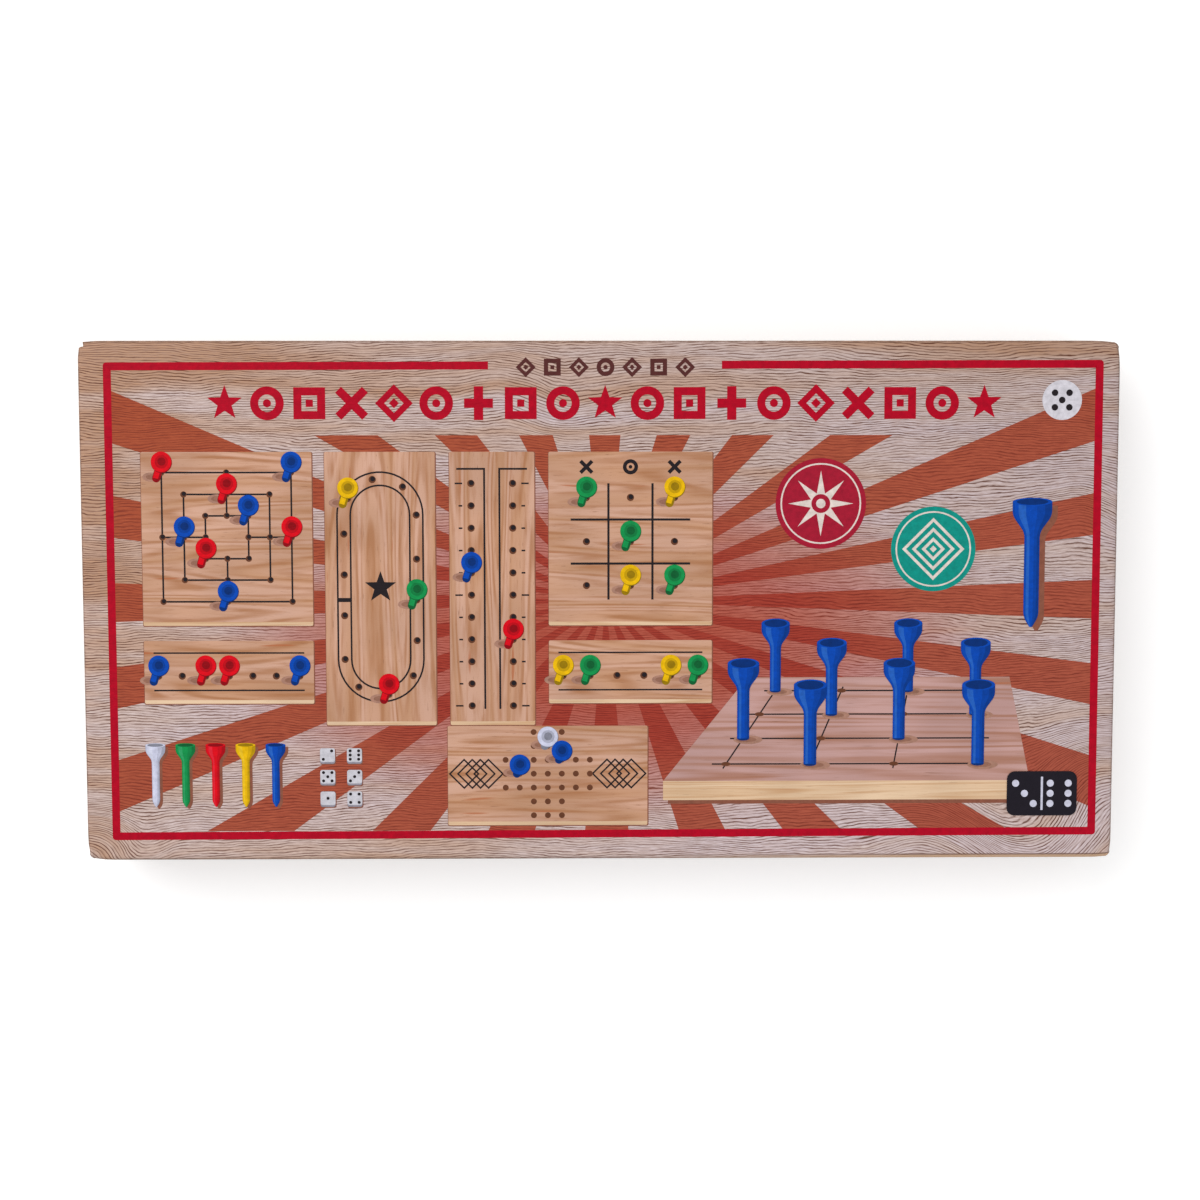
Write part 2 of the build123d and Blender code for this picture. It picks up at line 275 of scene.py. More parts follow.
class Nodes:
    """A node tree and short ways to add nodes to it. Lengths in patterns are in millimetres."""

    def __init__(self, tree):
        self.tree = tree

    def set(self, node, inputs):
        """Joins each input that is given a socket to it, and sets each other one to its value."""
        for key, value in inputs.items():
            if isinstance(value, bpy.types.NodeSocket):
                self.tree.links.new(value, node.inputs[key])
            else:
                node.inputs[key].default_value = value

    def add(self, kind, inputs, out=0, **settings):
        """A new node with its inputs and settings; returns the output that is asked for."""
        node = self.tree.nodes.new(kind)
        for key, value in settings.items():
            setattr(node, key, value)
        self.set(node, inputs)
        return node.outputs[out]

    def sum(self, operation, *values):
        """One step of arithmetic, such as ADD or MAXIMUM, on numbers."""
        return self.add("ShaderNodeMath", dict(enumerate(values)), operation=operation)

    def plus(self, a, b):
        """Two values added."""
        return self.sum("ADD", a, b)

    def times(self, a, b):
        """Two values multiplied."""
        return self.sum("MULTIPLY", a, b)

    def vector(self, operation, *values):
        """One step of arithmetic on vectors, each of their three numbers by itself."""
        return self.add("ShaderNodeVectorMath", dict(enumerate(values)), operation=operation)

    def measure(self, operation, *vectors):
        """A number worked out from vectors: LENGTH or DOT_PRODUCT."""
        values = dict(enumerate(vectors))
        return self.add("ShaderNodeVectorMath", values, out="Value", operation=operation)

    def axes(self, vector):
        """The vector's x, y and z."""
        return list(self.add("ShaderNodeSeparateXYZ", {"Vector": vector}).node.outputs)

    def turned(self, vector, centre, angle, axis="Z"):
        """The vector turned about a centre."""
        inputs = {"Vector": vector, "Center": centre, "Angle": angle}
        return self.add("ShaderNodeVectorRotate", inputs, rotation_type=axis + "_AXIS")

    def span(self, value, low, high, start=0.0, stop=1.0):
        """Goes evenly from start to stop while the value goes from low to high, and no further."""
        return self.add("ShaderNodeMapRange", {"Value": value, "From Min": low, "From Max": high,
                                               "To Min": start, "To Max": stop})

    def wave(self, value, period):
        """A sine from -1 to 1 that comes round again whenever the value has grown by the period."""
        return self.sum("SINE", self.times(value, 2 * math.pi / period))

    def object_mm(self):
        """Object coordinates in millimetres."""
        here = self.add("ShaderNodeTexCoord", {}, out="Object")
        return self.vector("MULTIPLY", here, (1 / MM,) * 3)

    def uv_mm(self, layer):
        """The piece's own flat coordinates in millimetres."""
        here = self.add("ShaderNodeUVMap", {}, uv_map=layer)
        return self.vector("MULTIPLY", here, (1 / MM,) * 3)

    def noise(self, where, stretch, detail=2.0, roughness=0.5):
        """Noise from about 0 to 1. stretch is how many features a millimetre holds along each
        axis."""
        place = self.vector("MULTIPLY", where, stretch)
        return self.add("ShaderNodeTexNoise", {"Vector": place, "Scale": 1.0, "Detail": detail,
                                               "Roughness": roughness})

    def steps(self, value, *stops):
        """A ramp from value to the colour or number given at each (position, colour) stop."""
        out = self.add("ShaderNodeValToRGB", {"Fac": value})
        ramp = out.node.color_ramp
        while len(ramp.elements) < len(stops):
            ramp.elements.new(1.0)
        for element, (position, colour) in zip(ramp.elements, stops):
            element.position = position
            element.color = colour if isinstance(colour, tuple) else (colour, colour, colour, 1.0)
        return out

    def mix(self, share, a, b, blend="MIX"):
        """Colour a where the share is 0 and b where it is 1."""
        inputs = {0: share, 6: a, 7: b}
        return self.add("ShaderNodeMix", inputs, out=2, data_type="RGBA", blend_type=blend)


class Finish(Nodes):
    """A material on the Principled shader."""

    def __init__(self, name, roughness=0.5, gloss=0.5, **inputs):
        self.material = bpy.data.materials.new(name)
        self.material.use_nodes = True
        super().__init__(self.material.node_tree)
        self.shader = self.tree.nodes["Principled BSDF"]
        self.set(self.shader, {"Roughness": roughness, "Specular IOR Level": gloss, **inputs})

    def colour(self, value):
        """Sets the base colour; returns the finish, so that more can be said of it."""
        self.set(self.shader, {"Base Color": value})
        return self

    def relief(self, height, depth, strength):
        """Bump from a 0 to 1 height that stands for so many millimetres."""
        inputs = {"Height": height, "Strength": strength, "Distance": depth * MM}
        self.set(self.shader, {"Normal": self.add("ShaderNodeBump", inputs)})
        return self


# %% [markdown]
# ### The printed ground
# The carton is printed with a picture of planed wood: long wavy strokes that run along the box and
# swirl round a few knots. They are a sine across the grain with its phase moved by stretched noise,
# so that they stay side by side as grain does. The swirl turns the place that is read, the more the
# nearer it is to a knot.

# %% The strokes of the printed wood
PRINT_GLOSS = 0.08
STROKE = 0.84                     # from one stroke of the grain to the next
WANDER = (                        # how fine a noise is along and across, and how far it moves
    ((0.010, 0.03, 0), 10.0), ((0.045, 0.07, 0), 4.0), ((0.13, 0.28, 0), 1.1),
    ((0.40, 0.80, 0), 0.38))
KNOTS = (                         # x, y, reach, turn in radians
    (-157, -82, 13, 1.1), (150, -66, 24, -1.0), (120, -84, 20, 0.7), (163, 30, 16, 0.5),
    (-20, 66, 16, 0.35))


def swirled(finish, where):
    """Turns the place about each knot by turn times e to the minus (distance / reach) squared."""
    for x, y, reach, turn in KNOTS:
        away = finish.vector("SUBTRACT", where, (x, y, 0))
        near = finish.sum("DIVIDE", finish.measure("LENGTH", away), reach)
        near = finish.times(finish.times(near, near), -1.0)
        angle = finish.times(finish.sum("EXPONENT", near), turn)
        where = finish.turned(where, (x, y, 0), angle)
    return where


def strokes(finish, where):
    """0 on a dark stroke of the grain, 1 between strokes: a sine across the grain whose phase
    wanders."""
    across = finish.axes(where)[1]
    for stretch, reach in WANDER:
        wander = finish.noise(where, stretch, detail=1.0)
        across = finish.plus(across, finish.times(wander, reach))
    wave = finish.plus(finish.times(finish.wave(across, STROKE), 0.5), 0.5)
    deep = finish.steps(finish.noise(where, (0.018, 0.16, 0)), (0.34, 0.70), (0.58, 1.0))
    broken = finish.steps(finish.noise(where, (0.10, 1.5, 0), 3.0), (0.38, 0.24), (0.55, 1.0))
    dark = finish.steps(wave, (0.54, 0.0), (0.93, 1.0))
    dark = finish.times(dark, finish.times(deep, broken))
    return finish.sum("SUBTRACT", 1.0, dark)


def fine_grain(finish, where):
    """The hair-fine grain between the strokes, from about 0 to 1."""
    return finish.noise(where, (0.25, 3.4, 0), detail=4.0, roughness=0.75)


def blank_place(finish, layer=None):
    """Where on the flat blank a point lies: its own flat map on the carton, x and y on the shapes
    over it."""
    where = finish.uv_mm(layer) if layer else finish.object_mm()
    return finish.vector("MULTIPLY", where, (1, 1, 0))


def strokes_under(finish):
    """The strokes of the wood picture that a printed shape lies on."""
    return strokes(finish, swirled(finish, blank_place(finish)))


# %% [markdown]
# The tone drifts over the lid: tan at the far left and cool pink at the near right. The middle is
# washed with red, the glow of the sunburst. Painted shade and scuffed ink darken the folds' outer
# turn in patches. Along the near fold a dark line and a tan band over its bend are painted shade,
# fading in from the middle towards the right.

# %% The drift, the painted fold shade and the glow
GLOW_MIDDLE, GLOW_STRETCH, GLOW_REACH = (0.0, -14.0, 0), 2.2, 70.0
# The dark line of painted shade on the near fold lies this far from the middle of the lid.
NEAR_FOLD_SHADE = 81.65               # from the middle of the lid


def coolness(finish, flat):
    """0 at the upper left of the lid and 1 at the lower right: the print drifts from tan to a cool
    pink."""
    share = finish.measure("DOT_PRODUCT", flat, (1 / BOX_LENGTH, -1 / BOX_WIDTH, 0))
    return finish.span(share, -0.8, 0.8)


def rubbed(finish, flat):
    """Painted shade and scuffed ink: 1 in patches along the outer half of the lid's folds, and 0
    elsewhere. On the near fold also 1 on a thin line along it, and a tan band of painted shade
    over the bend beyond, both fading in from the middle towards the right."""
    rim = (BOX_LENGTH / 2, BOX_WIDTH / 2, 0)
    past_x, past_y, _ = finish.axes(finish.vector("SUBTRACT", finish.vector("ABSOLUTE", flat), rim))
    past = finish.sum("ABSOLUTE", finish.sum("MAXIMUM", past_x, past_y))
    # Painted shade, mixed with scuffed ink, in patches on the outer turn of the folds.
    patches = finish.noise(flat, (0.3, 0.3, 0), detail=5.0, roughness=0.65)
    patches = finish.steps(patches, (0.36, 0.2), (0.60, 1.0))
    edge = finish.times(finish.steps(past, (0.30, 0.75), (0.85, 0.0)), patches)
    x, y, _ = finish.axes(flat)
    # Painted shade on the near fold: a dark line on it and a tan band past it, stronger to the
    # right.
    off = finish.plus(y, NEAR_FOLD_SHADE)
    towards_right = finish.span(x, 0.0, 110.0)
    crease_shade = finish.steps(finish.sum("ABSOLUTE", off), (0.15, 0.8), (0.38, 0.0))
    crease_shade = finish.times(crease_shade, towards_right)
    beyond = finish.sum("DIVIDE", off, -10.0)
    strip = finish.steps(beyond, (0.01, 0.0), (0.035, 0.85), (0.22, 0.80), (0.42, 0.0))
    return finish.sum("MAXIMUM", edge, crease_shade), finish.times(strip, towards_right)


def glow(finish, flat):
    """1 in the middle of the sunburst, fading to 0: the ink between the rays, over an ellipse."""
    away = finish.vector("SUBTRACT", flat, GLOW_MIDDLE)
    away = finish.vector("MULTIPLY", away, (1 / GLOW_STRETCH, 1.0, 0))
    far = finish.sum("DIVIDE", finish.measure("LENGTH", away), GLOW_REACH)
    return finish.steps(far, (0.24, 1.0), (0.43, 0.86), (0.63, 0.56), (0.72, 0.30), (0.80, 0.08),
                        (0.92, 0.0))


def wood_bands(finish, flat, where):
    """Broad bands from pink to tan. Tan gains along the far and the left edge, and most where they
    meet; the whole darkens towards the far right corner, painted shade where the light falls off."""
    edge = finish.vector("SUBTRACT", flat, (-BOX_LENGTH / 2, BOX_WIDTH / 2 + 1, 0))
    from_left, from_top, _ = finish.axes(finish.vector("MULTIPLY", edge, (1 / 28, -1 / 18, 0)))
    margin = finish.span(finish.sum("MINIMUM", from_left, from_top), 0.3, 1.3, 0.21, 0.0)
    tan = finish.sum("SUBTRACT", 1.0, coolness(finish, flat))
    warm = finish.times(tan, finish.plus(finish.times(margin, tan), 0.10))
    warm = finish.sum("SUBTRACT", warm, 0.05)
    band = finish.plus(finish.noise(where, (0.005, 0.07, 0), detail=3.0, roughness=0.6), warm)
    base = finish.steps(band, (0.40, rgb(215, 200, 204)), (0.52, rgb(213, 194, 189)),
                        (0.62, rgb(204, 174, 157)), (0.72, rgb(188, 147, 119)))
    # Painted shade: darker towards the far right corner, where the light falls off.
    share = finish.measure("DOT_PRODUCT", flat, (1 / BOX_LENGTH, 1 / BOX_WIDTH, 0))
    return finish.mix(1.0, base, finish.span(share, -0.1, 0.9, 1.0, 0.85), blend="MULTIPLY")


# %% [markdown]
# Three inks share this grain: the ground, the terracotta of the rays over it, and the solid inks of
# the shapes, where only its relief is felt.

# %% The printed finishes
def printed_ground(name, layer):
    """Planed wood in bands with dark strokes, red where the sunburst glows, and darkened along the
    folds by painted shade and scuffed ink."""
    finish = Finish(name, gloss=PRINT_GLOSS)
    flat = blank_place(finish, layer)
    where = swirled(finish, flat)
    lines = strokes(finish, where)
    grain = fine_grain(finish, where)
    base = wood_bands(finish, flat, where)
    base = finish.mix(finish.steps(grain, (0.40, 0.62), (0.62, 0.0)), base, rgb(158, 128, 116))
    dark = finish.mix(1.0, base, rgb(128, 90, 72), blend="MULTIPLY")
    wood = finish.mix(lines, dark, base)
    fine = finish.steps(grain, (0.38, 0.0), (0.62, 1.0))
    washed = finish.mix(fine, rgb(158, 68, 53), rgb(178, 90, 73))
    washed = finish.mix(lines, rgb(132, 50, 38), washed)
    wood = finish.mix(glow(finish, flat), wood, washed)
    # Painted shade and scuffed ink darken the folds; a tan band of painted shade lies over the near
    # bend.
    shade_and_wear, strip = rubbed(finish, flat)
    wood = finish.mix(shade_and_wear, wood, rgb(104, 74, 56))
    finish.colour(finish.mix(strip, wood, rgb(196, 160, 128)))
    return finish.relief(lines, 0.06, 0.8).material


def printed_rays(name):
    """Terracotta over the wood picture, redder in the middle, through which the strokes still
    show."""
    finish = Finish(name, gloss=PRINT_GLOSS)
    flat = blank_place(finish)
    where = swirled(finish, flat)
    lines = strokes(finish, where)
    cool = coolness(finish, flat)
    grain = finish.steps(fine_grain(finish, where), (0.38, 0.0), (0.62, 1.0))
    pale = finish.mix(cool, rgb(170, 84, 54), rgb(172, 88, 68))
    plain = finish.mix(cool, rgb(148, 66, 44), rgb(148, 69, 54))
    outer = finish.mix(lines, rgb(118, 48, 35), finish.mix(grain, plain, pale))
    inner = finish.mix(grain, rgb(143, 48, 36), rgb(162, 64, 50))
    inner = finish.mix(lines, rgb(118, 36, 30), inner)
    middle = finish.steps(glow(finish, flat), (0.45, 0.0), (0.85, 1.0))
    finish.colour(finish.mix(middle, outer, inner))
    return finish.relief(lines, 0.06, 0.8).material


def printed_ink(name, colour):
    """Solid litho ink: even, with the board's faint mottle, and the grain of the sheet felt under
    it."""
    finish = Finish(name, gloss=PRINT_GLOSS)
    mottle = finish.noise(finish.object_mm(), (0.5, 0.5, 0), detail=4.0, roughness=0.7)
    mottle = finish.steps(mottle, (0.35, 0.0), (0.7, 1.0))
    finish.colour(finish.mix(mottle, rgb(*colour), rgb(*toned(colour, 0.86))))
    return finish.relief(strokes_under(finish), 0.04, 0.6).material


# %% [markdown]
# ### Brown board
# The base, the partitions and the inside of the lid are bare brown liner: short fibres in every
# direction, a few darker flecks, and a faint washboard where the liner sinks between the flutes. A
# cut edge shows the fluted middle layer as a wave between two liners, with painted shade in the
# hollows between them. The wave needs to know how far it is through the sheet, so the folded shells
# carry that as a number on every point, called across.

# %% Brown board and its cut edge
FLUTE = 3.2                       # from one crest of the middle layer to the next


def liner(finish, where, tint, shade):
    """The colour of brown liner between its tint and its shade, and the height of its fibres."""
    fibre = finish.noise(where, (0.9, 3.2, 0.9), detail=5.0, roughness=0.75)
    cross = finish.noise(where, (2.6, 0.8, 0.8), detail=4.0, roughness=0.7)
    both = finish.times(finish.plus(fibre, cross), 0.5)
    fleck = finish.steps(finish.noise(where, (0.9, 1.3, 0.9), detail=4.0), (0.60, 0.0), (0.70, 0.5))
    cloud = finish.noise(where, (0.035, 0.05, 0.035), detail=3.0)
    cloud = finish.steps(cloud, (0.3, 0.0), (0.7, 0.3))
    body = finish.mix(finish.steps(both, (0.38, 0.0), (0.62, 1.0)), rgb(*shade), rgb(*tint))
    body = finish.mix(cloud, body, rgb(*toned(shade, 0.93)))
    return finish.mix(fleck, body, rgb(*toned(shade, 0.72))), both


def fluted(finish, depth, along):
    """Where a cut edge is solid, 1 or 0, and its colour: the middle layer is a wave along the edge,
    between two liners, and the hollows between them get a dark brown of painted shade. depth is the
    place in the sheet, from -0.5 on one side to 0.5 on the other."""
    middle = finish.times(finish.wave(along, FLUTE), 0.31)
    flute = finish.sum("ABSOLUTE", finish.sum("SUBTRACT", depth, middle))
    flute = finish.steps(flute, (0.10, 1.0), (0.16, 0.0))
    rim = finish.steps(finish.sum("ABSOLUTE", depth), (0.33, 0.0), (0.38, 1.0))
    solid = finish.sum("MAXIMUM", flute, rim)
    # The hollows are painted dark brown as shade; the flute and the liners are kraft.
    return solid, finish.mix(solid, rgb(74, 50, 32), rgb(182, 142, 98))


def brown_board(name, layer):
    """The flat side of the board: liner, and the washboard of the flutes as a relief along the
    sheet's X."""
    finish = Finish(name, roughness=0.86, gloss=0.3)
    where = finish.uv_mm(layer)
    body, fibre = liner(finish, where, (201, 163, 120), (184, 145, 103))
    washboard = finish.times(finish.wave(finish.axes(where)[0], FLUTE), 0.35)
    finish.colour(body)
    return finish.relief(finish.plus(washboard, fibre), 0.05, 0.6).material


def cut_edge(name, layer):
    """The sheet seen edge on, along its X. The attribute across says how far a point is through
    it."""
    finish = Finish(name, roughness=0.92, gloss=0.2)
    across = finish.add("ShaderNodeAttribute", {}, out="Fac", attribute_name="across")
    along = finish.axes(finish.uv_mm(layer))[0]
    solid, colour = fluted(finish, finish.sum("SUBTRACT", across, 0.5), along)
    finish.colour(colour)
    return finish.relief(solid, 0.4, 0.8).material


GROUND = printed_ground("printed_wood_ground", "blank")
BROWN = brown_board("brown_liner", "blank")
EDGE = cut_edge("fluted_edge", "blank")
print("finishes so far", [m.name for m in bpy.data.materials])

# %% [markdown]
# ## Lid and base: one blank, folded
# A carton starts as a flat blank with a cross shape: a panel, four walls, and a glue tab at each
# end of the two end walls. The same happens here. A grid of flat points (u, v) covers the blank,
# each point is folded to its place by one formula, and the flat (u, v) stays on the mesh as its UV
# map, so that the print runs over the folds without a break. Solidify then gives the sheet its
# thickness, thinner where a tab is crushed.

# %% How a blank folds
SHEET, CRUSHED = 1.5, 0.67         # the board's thickness, and the share of it that a tab keeps
FOLD, TAB_FOLD = 1.8, 0.9          # the outer radius of the panel's folds and of the tabs'
ARC, TAB_ARC = FOLD * math.pi / 2, TAB_FOLD * math.pi / 2
TAB, TAB_TAPER = 28.0, 6.0         # a tab's reach, and how much lower it is at its free end
NOTCH, SETBACK = 1.9, 1.2          # how far short of the corner the folds and the long walls stop
WAVES = 7                          # how many sine waves make up an uneven surface


def ripple(x, y, seed, longest=90.0):
    """Gentle unevenness, about -1 to 1: a sum of sine waves of random direction, length and
    phase."""
    rng = np.random.default_rng(seed)
    total = np.zeros(np.broadcast(x, y).shape)
    for _ in range(WAVES):
        length = longest * rng.uniform(0.35, 1.0)
        turn, phase = rng.uniform(0, math.pi), rng.uniform(0, 6.3)
        along = x * math.cos(turn) + y * math.sin(turn)
        total = total + np.sin(2 * math.pi * along / length + phase)
    return total / WAVES ** 0.5 / 1.4


def panel_height(x, y, length=BOX_LENGTH, width=BOX_WIDTH, seed=5):
    """How far a panel stands above its folds: a low crown that is nothing at the edges, plus a
    ripple."""
    crown = np.clip(1 - (2 * x / length) ** 2, 0, 1) * np.clip(1 - (2 * y / width) ** 2, 0, 1)
    return crown ** 0.8 * (0.42 + 0.12 * ripple(x, y, seed))


def lines(stops, step):
    """Grid lines through every stop, with as many evenly between them as keep the gaps within a
    step."""
    runs = []
    for a, b in zip(stops, stops[1:]):
        runs.append(np.linspace(a, b, max(1, math.ceil((b - a) / step)) + 1)[:-1])
    return np.concatenate(runs + [[stops[-1]]])


def blank_lines(half, depth, tab=False):
    """Grid lines from the middle outwards, mirrored: panel, fold, wall or tab."""
    inner = lines([0, half - NOTCH, half - FOLD], 3.4)
    fold = half - FOLD + ARC * np.arange(1, 6) / 5
    outer = lines([fold[-1], fold[-1] + NOTCH - FOLD, half - FOLD + ARC + depth - FOLD], 3.4)
    side = np.concatenate([inner, fold[:-1], outer])
    if tab:
        turn = half - SHEET - TAB_FOLD + TAB_ARC * np.arange(1, 4) / 3
        beyond = lines([turn[-1], turn[-1] + TAB], 4.0)
        side = np.unique(np.round(np.concatenate([side, turn, beyond]), 4))
        side = side[np.concatenate([[True], np.diff(side) > 0.05])]
    return np.concatenate([-side[:0:-1], side])


def fold_over(flat, half, radius):
    """Past half - radius a point goes round an arc and then straight down: its reach and its
    drop."""
    past = np.abs(flat) - (half - radius)
    angle = np.clip(past / radius, 0, math.pi / 2)
    reach = np.where(past > 0, half - radius + radius * np.sin(angle), np.abs(flat)) * np.sign(flat)
    straight = np.clip(past - radius * math.pi / 2, 0, None)
    return reach, np.where(past > 0, radius * (1 - np.cos(angle)) + straight, 0)


def folded_blank(name, length, width, depth, materials, seed, wear, closed=(), bow=1.0):
    """The blank's outer face folded down from a panel at height 0, then thickened inwards by
    Solidify. At the closed corners handling has pressed the two folds together into a ball of the
    folds' radius. Each worn corner has its sides, a reach, how far it went in and down, and the
    radius that it is blunted to."""
    x, y = length / 2, width / 2
    us, vs = blank_lines(x, depth), blank_lines(y, depth, tab=True)
    u, v = np.meshgrid(us, vs, indexing="ij")
    end = np.abs(u) > x - FOLD                             # on an end wall or its tabs
    low_u = np.abs(u) - (x - FOLD + ARC)
    tab_start = y - SHEET - TAB_FOLD
    tab_reach = np.abs(v) - tab_start - TAB_ARC

    # Tabs taper towards their free end: their points move towards the wall's middle height.
    height = depth - FOLD
    share = np.clip(tab_reach / TAB, 0, 1) * TAB_TAPER / height
    middle = x - FOLD + ARC + height / 2 + 0.6
    narrowed = np.sign(u) * (middle + (np.abs(u) - middle) * (1 - share))
    bent_u = np.where(end & (tab_reach > 0), narrowed, u)

    on_end = fold_over(bent_u, x, FOLD)
    on_long = fold_over(v, y, FOLD)
    far_v, tab_turn = fold_over(v, y - SHEET - 0.04, TAB_FOLD)
    wall = end & ((low_u >= -0.01) | (np.abs(v) <= y - NOTCH + 0.01))
    # Brown liner, and on the upper edge the flutes, with painted shade in their hollows. The depth is     measured from the plate's own middle; with a pitch, from the middle of the nearest of several     plates.
    px = np.where(end & wall, on_end[0] - np.sign(u) * tab_turn, u)
    py = np.where(end & wall, far_v, on_long[0])
    pz = -np.where(end & wall, on_end[1], on_long[1])

    # A closed corner: the larger of the two fold angles tilts a point, their ratio turns it round
    # the corner.
    pressed = np.zeros(u.shape, bool)
    for cx, cy in closed:
        pressed |= (np.sign(u) == cx) & (np.sign(v) == cy)
    past_u, past_v = (np.abs(u) - (x - FOLD)) / FOLD, (np.abs(v) - (y - FOLD)) / FOLD
    lesser, larger = np.minimum(past_u, past_v), np.maximum(past_u, past_v)
    ball = pressed & (lesser > -1e-6) & (larger < math.pi / 2 + 1e-6)
    tilt, round_by = np.clip(larger, 0, None), np.arctan2(past_v, past_u)
    px = np.where(ball, np.sign(u) * (x - FOLD + FOLD * np.sin(tilt) * np.cos(round_by)), px)
    py = np.where(ball, np.sign(v) * (y - FOLD + FOLD * np.sin(tilt) * np.sin(round_by)), py)
    pz = np.where(ball, -FOLD * (1 - np.cos(tilt)), pz)

    # Which faces the blank has, judged at their middles.
    cu, cv = (np.abs(us[:-1] + us[1:]) / 2)[:, None], (np.abs(vs[:-1] + vs[1:]) / 2)[None, :]
    fold_u, fold_v = x - FOLD + ARC, y - FOLD + ARC        # where the folds end and the walls begin
    below_u, below_v = cu > fold_u + NOTCH - FOLD, cv > fold_v + NOTCH - FOLD
    panel = (cu < x - FOLD) & (cv < y - FOLD)
    long_fold = (cu < x - NOTCH) & (cv > y - FOLD) & (cv < fold_v + height)
    long_wall = (cu < x - SETBACK) & below_v & (cv < fold_v + height)
    end_fold = (cu > x - FOLD) & (cv < y - NOTCH)
    tabs = below_u & (cv > y - NOTCH) & (cv < tab_start + TAB_ARC + TAB)
    keep = panel | long_fold | long_wall | end_fold | tabs
    on_fold = (cu < fold_u) & (cv < fold_v) & (np.maximum(cu - x, cv - y) > -FOLD)
    keep |= pressed[:-1, :-1] & pressed[1:, 1:] & on_fold

    # Bowed panel, walls that bulge, a wavering free edge, and corners softened by handling.
    lift = bow * panel_height(px, py, length, width, seed)
    inside = (np.abs(u) <= x - FOLD) & (np.abs(v) <= y - FOLD)
    pz = pz + np.where(inside, lift, 0)
    fall = np.clip(-pz / depth, 0, 1)
    on_wall = (~inside) & (fall > 0.05)
    tab_part = end & (np.abs(v) > tab_start)
    bulge = np.sin(fall * math.pi * 0.5)
    bulge_y = bulge * np.clip(1 - (2 * u / length) ** 2, 0, 1)
    bulge_x = bulge * np.clip(1 - (2 * v / width) ** 2, 0, 1)
    bulge_y = bulge_y * (0.28 + 0.1 * ripple(u, 0 * v, seed + 1))
    bulge_x = bulge_x * (0.22 + 0.1 * ripple(v, 0 * u, seed + 2))
    py = py + np.sign(v) * np.where(on_wall & ~end, bulge_y, 0)
    px = px + np.sign(u) * np.where(on_wall & end & ~tab_part, bulge_x, 0)
    edge = np.where(on_wall, fall ** 6, 0)
    pz = pz + edge * 0.09 * ripple(px * 1.7, py * 1.7, seed + 3, longest=60.0)
    for cx, cy, reach, inward, down, blunt in wear:
        near = np.exp(-((px - cx * x) ** 2 + (py - cy * y) ** 2 + (pz * 0.25) ** 2) / reach ** 2)
        px, py = px - cx * near * inward, py - cy * near * inward
        pz = pz - near * down * (~tab_part)
        out_x, out_y = np.clip(cx * px - x + blunt, 0, None), np.clip(cy * py - y + blunt, 0, None)
        out = np.maximum(np.hypot(out_x, out_y), 1e-6)
        over = np.clip(out - blunt, 0, None) * (np.minimum(out_x, out_y) > 0)
        over = over * np.clip(1 + (pz + 4) / 10, 0, 1)
        px, py = px - cx * out_x / out * over, py - cy * out_y / out * over

    where, faces = turned_over(grid(np.stack([px, py, pz], -1)))       # turned to look outwards
    faces = [face for face, kept in zip(faces, keep.ravel()) if kept]
    flat = np.stack([u, v], -1).reshape(-1, 2)
    used = np.unique(faces)
    back = np.full(len(where), -1)
    back[used] = np.arange(len(used))
    thin = np.where(end & (np.abs(v) > tab_start + 0.5), CRUSHED, 1.0).ravel()[used]
    patch = (where[used], back[np.array(faces)].tolist())
    return sheet_mesh(name, patch, flat[used], thin, materials)


def sheet_mesh(name, patch, flat, thin, materials):
    """The folded outer face, thickened inwards; its flat places become a UV map, its depth an
    attribute."""
    item = new_item(name, patch, materials)
    mesh = item.data
    layer = mesh.uv_layers.new(name="blank")
    corner = np.zeros(len(mesh.loops), np.int32)
    mesh.loops.foreach_get("vertex_index", corner)
    layer.uv.foreach_set("vector", (flat[corner] * MM).astype(np.float32).ravel())
    group = item.vertex_groups.new(name="thickness")
    for value in np.unique(thin):
        group.add(np.flatnonzero(thin == value).tolist(), float(value), "REPLACE")
    solid = item.modifiers.new("sheet", "SOLIDIFY")
    solid.thickness, solid.offset, solid.use_even_offset = SHEET * MM, -1.0, True
    solid.vertex_group, solid.material_offset, solid.material_offset_rim = "thickness", 1, 2
    view = bpy.context.evaluated_depsgraph_get()
    view.update()
    thick = bpy.data.meshes.new_from_object(item.evaluated_get(view))
    item.modifiers.remove(solid)
    item.vertex_groups.clear()
    item.data = thick
    bpy.data.meshes.remove(mesh)
    thick.name = name
    across = thick.attributes.new("across", "FLOAT", "POINT")
    inside = np.arange(len(thick.vertices)) >= len(patch[0])
    across.data.foreach_set("value", inside.astype(np.float32))
    smooth(thick, 35)
    return item


def placed(item, height, upside_down=False):
    """Lifts a finished shell to its height, turned over first if it stands on its panel."""
    points = points_of(item.data)
    if upside_down:
        points = points * (1, -1, -1)
    item.data.vertices.foreach_set("co", (points + (0, 0, height * MM)).ravel())
    item.data.update()


# %% The lid and the base
LID = (BOX_LENGTH, BOX_WIDTH, 27.0)     # length, width and depth
BASE = (325.8, 159.8, 30.3)
WORN_LID = (                      # side in x and in y, reach, how far in and down, blunted to
    (-1, -1, 4.0, 0.5, 0.6, 3.4), (-1, 1, 3.0, 0.4, 0.3, 0.5), (1, 1, 4.5, 0.5, 0.5, 3.6),
    (1, -1, 3.2, 0.3, 0.4, 2.6))
WORN_BASE = ((-1, 1, 3.0, 0.4, 0.3, 0.5), (1, -1, 3.0, 0.4, 0.3, 0.5))
CLOSED = ((-1, -1), (1, 1), (1, -1))
lid_shell = folded_blank("printed_lid", *LID, [GROUND, BROWN, EDGE], 5, WORN_LID, CLOSED)
placed(lid_shell, BOX_TOP)
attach(lid_shell, "lid")
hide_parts("lid")
base_shell = folded_blank("brown_base", *BASE, [BROWN, BROWN, EDGE], 23, WORN_BASE, bow=0.0)
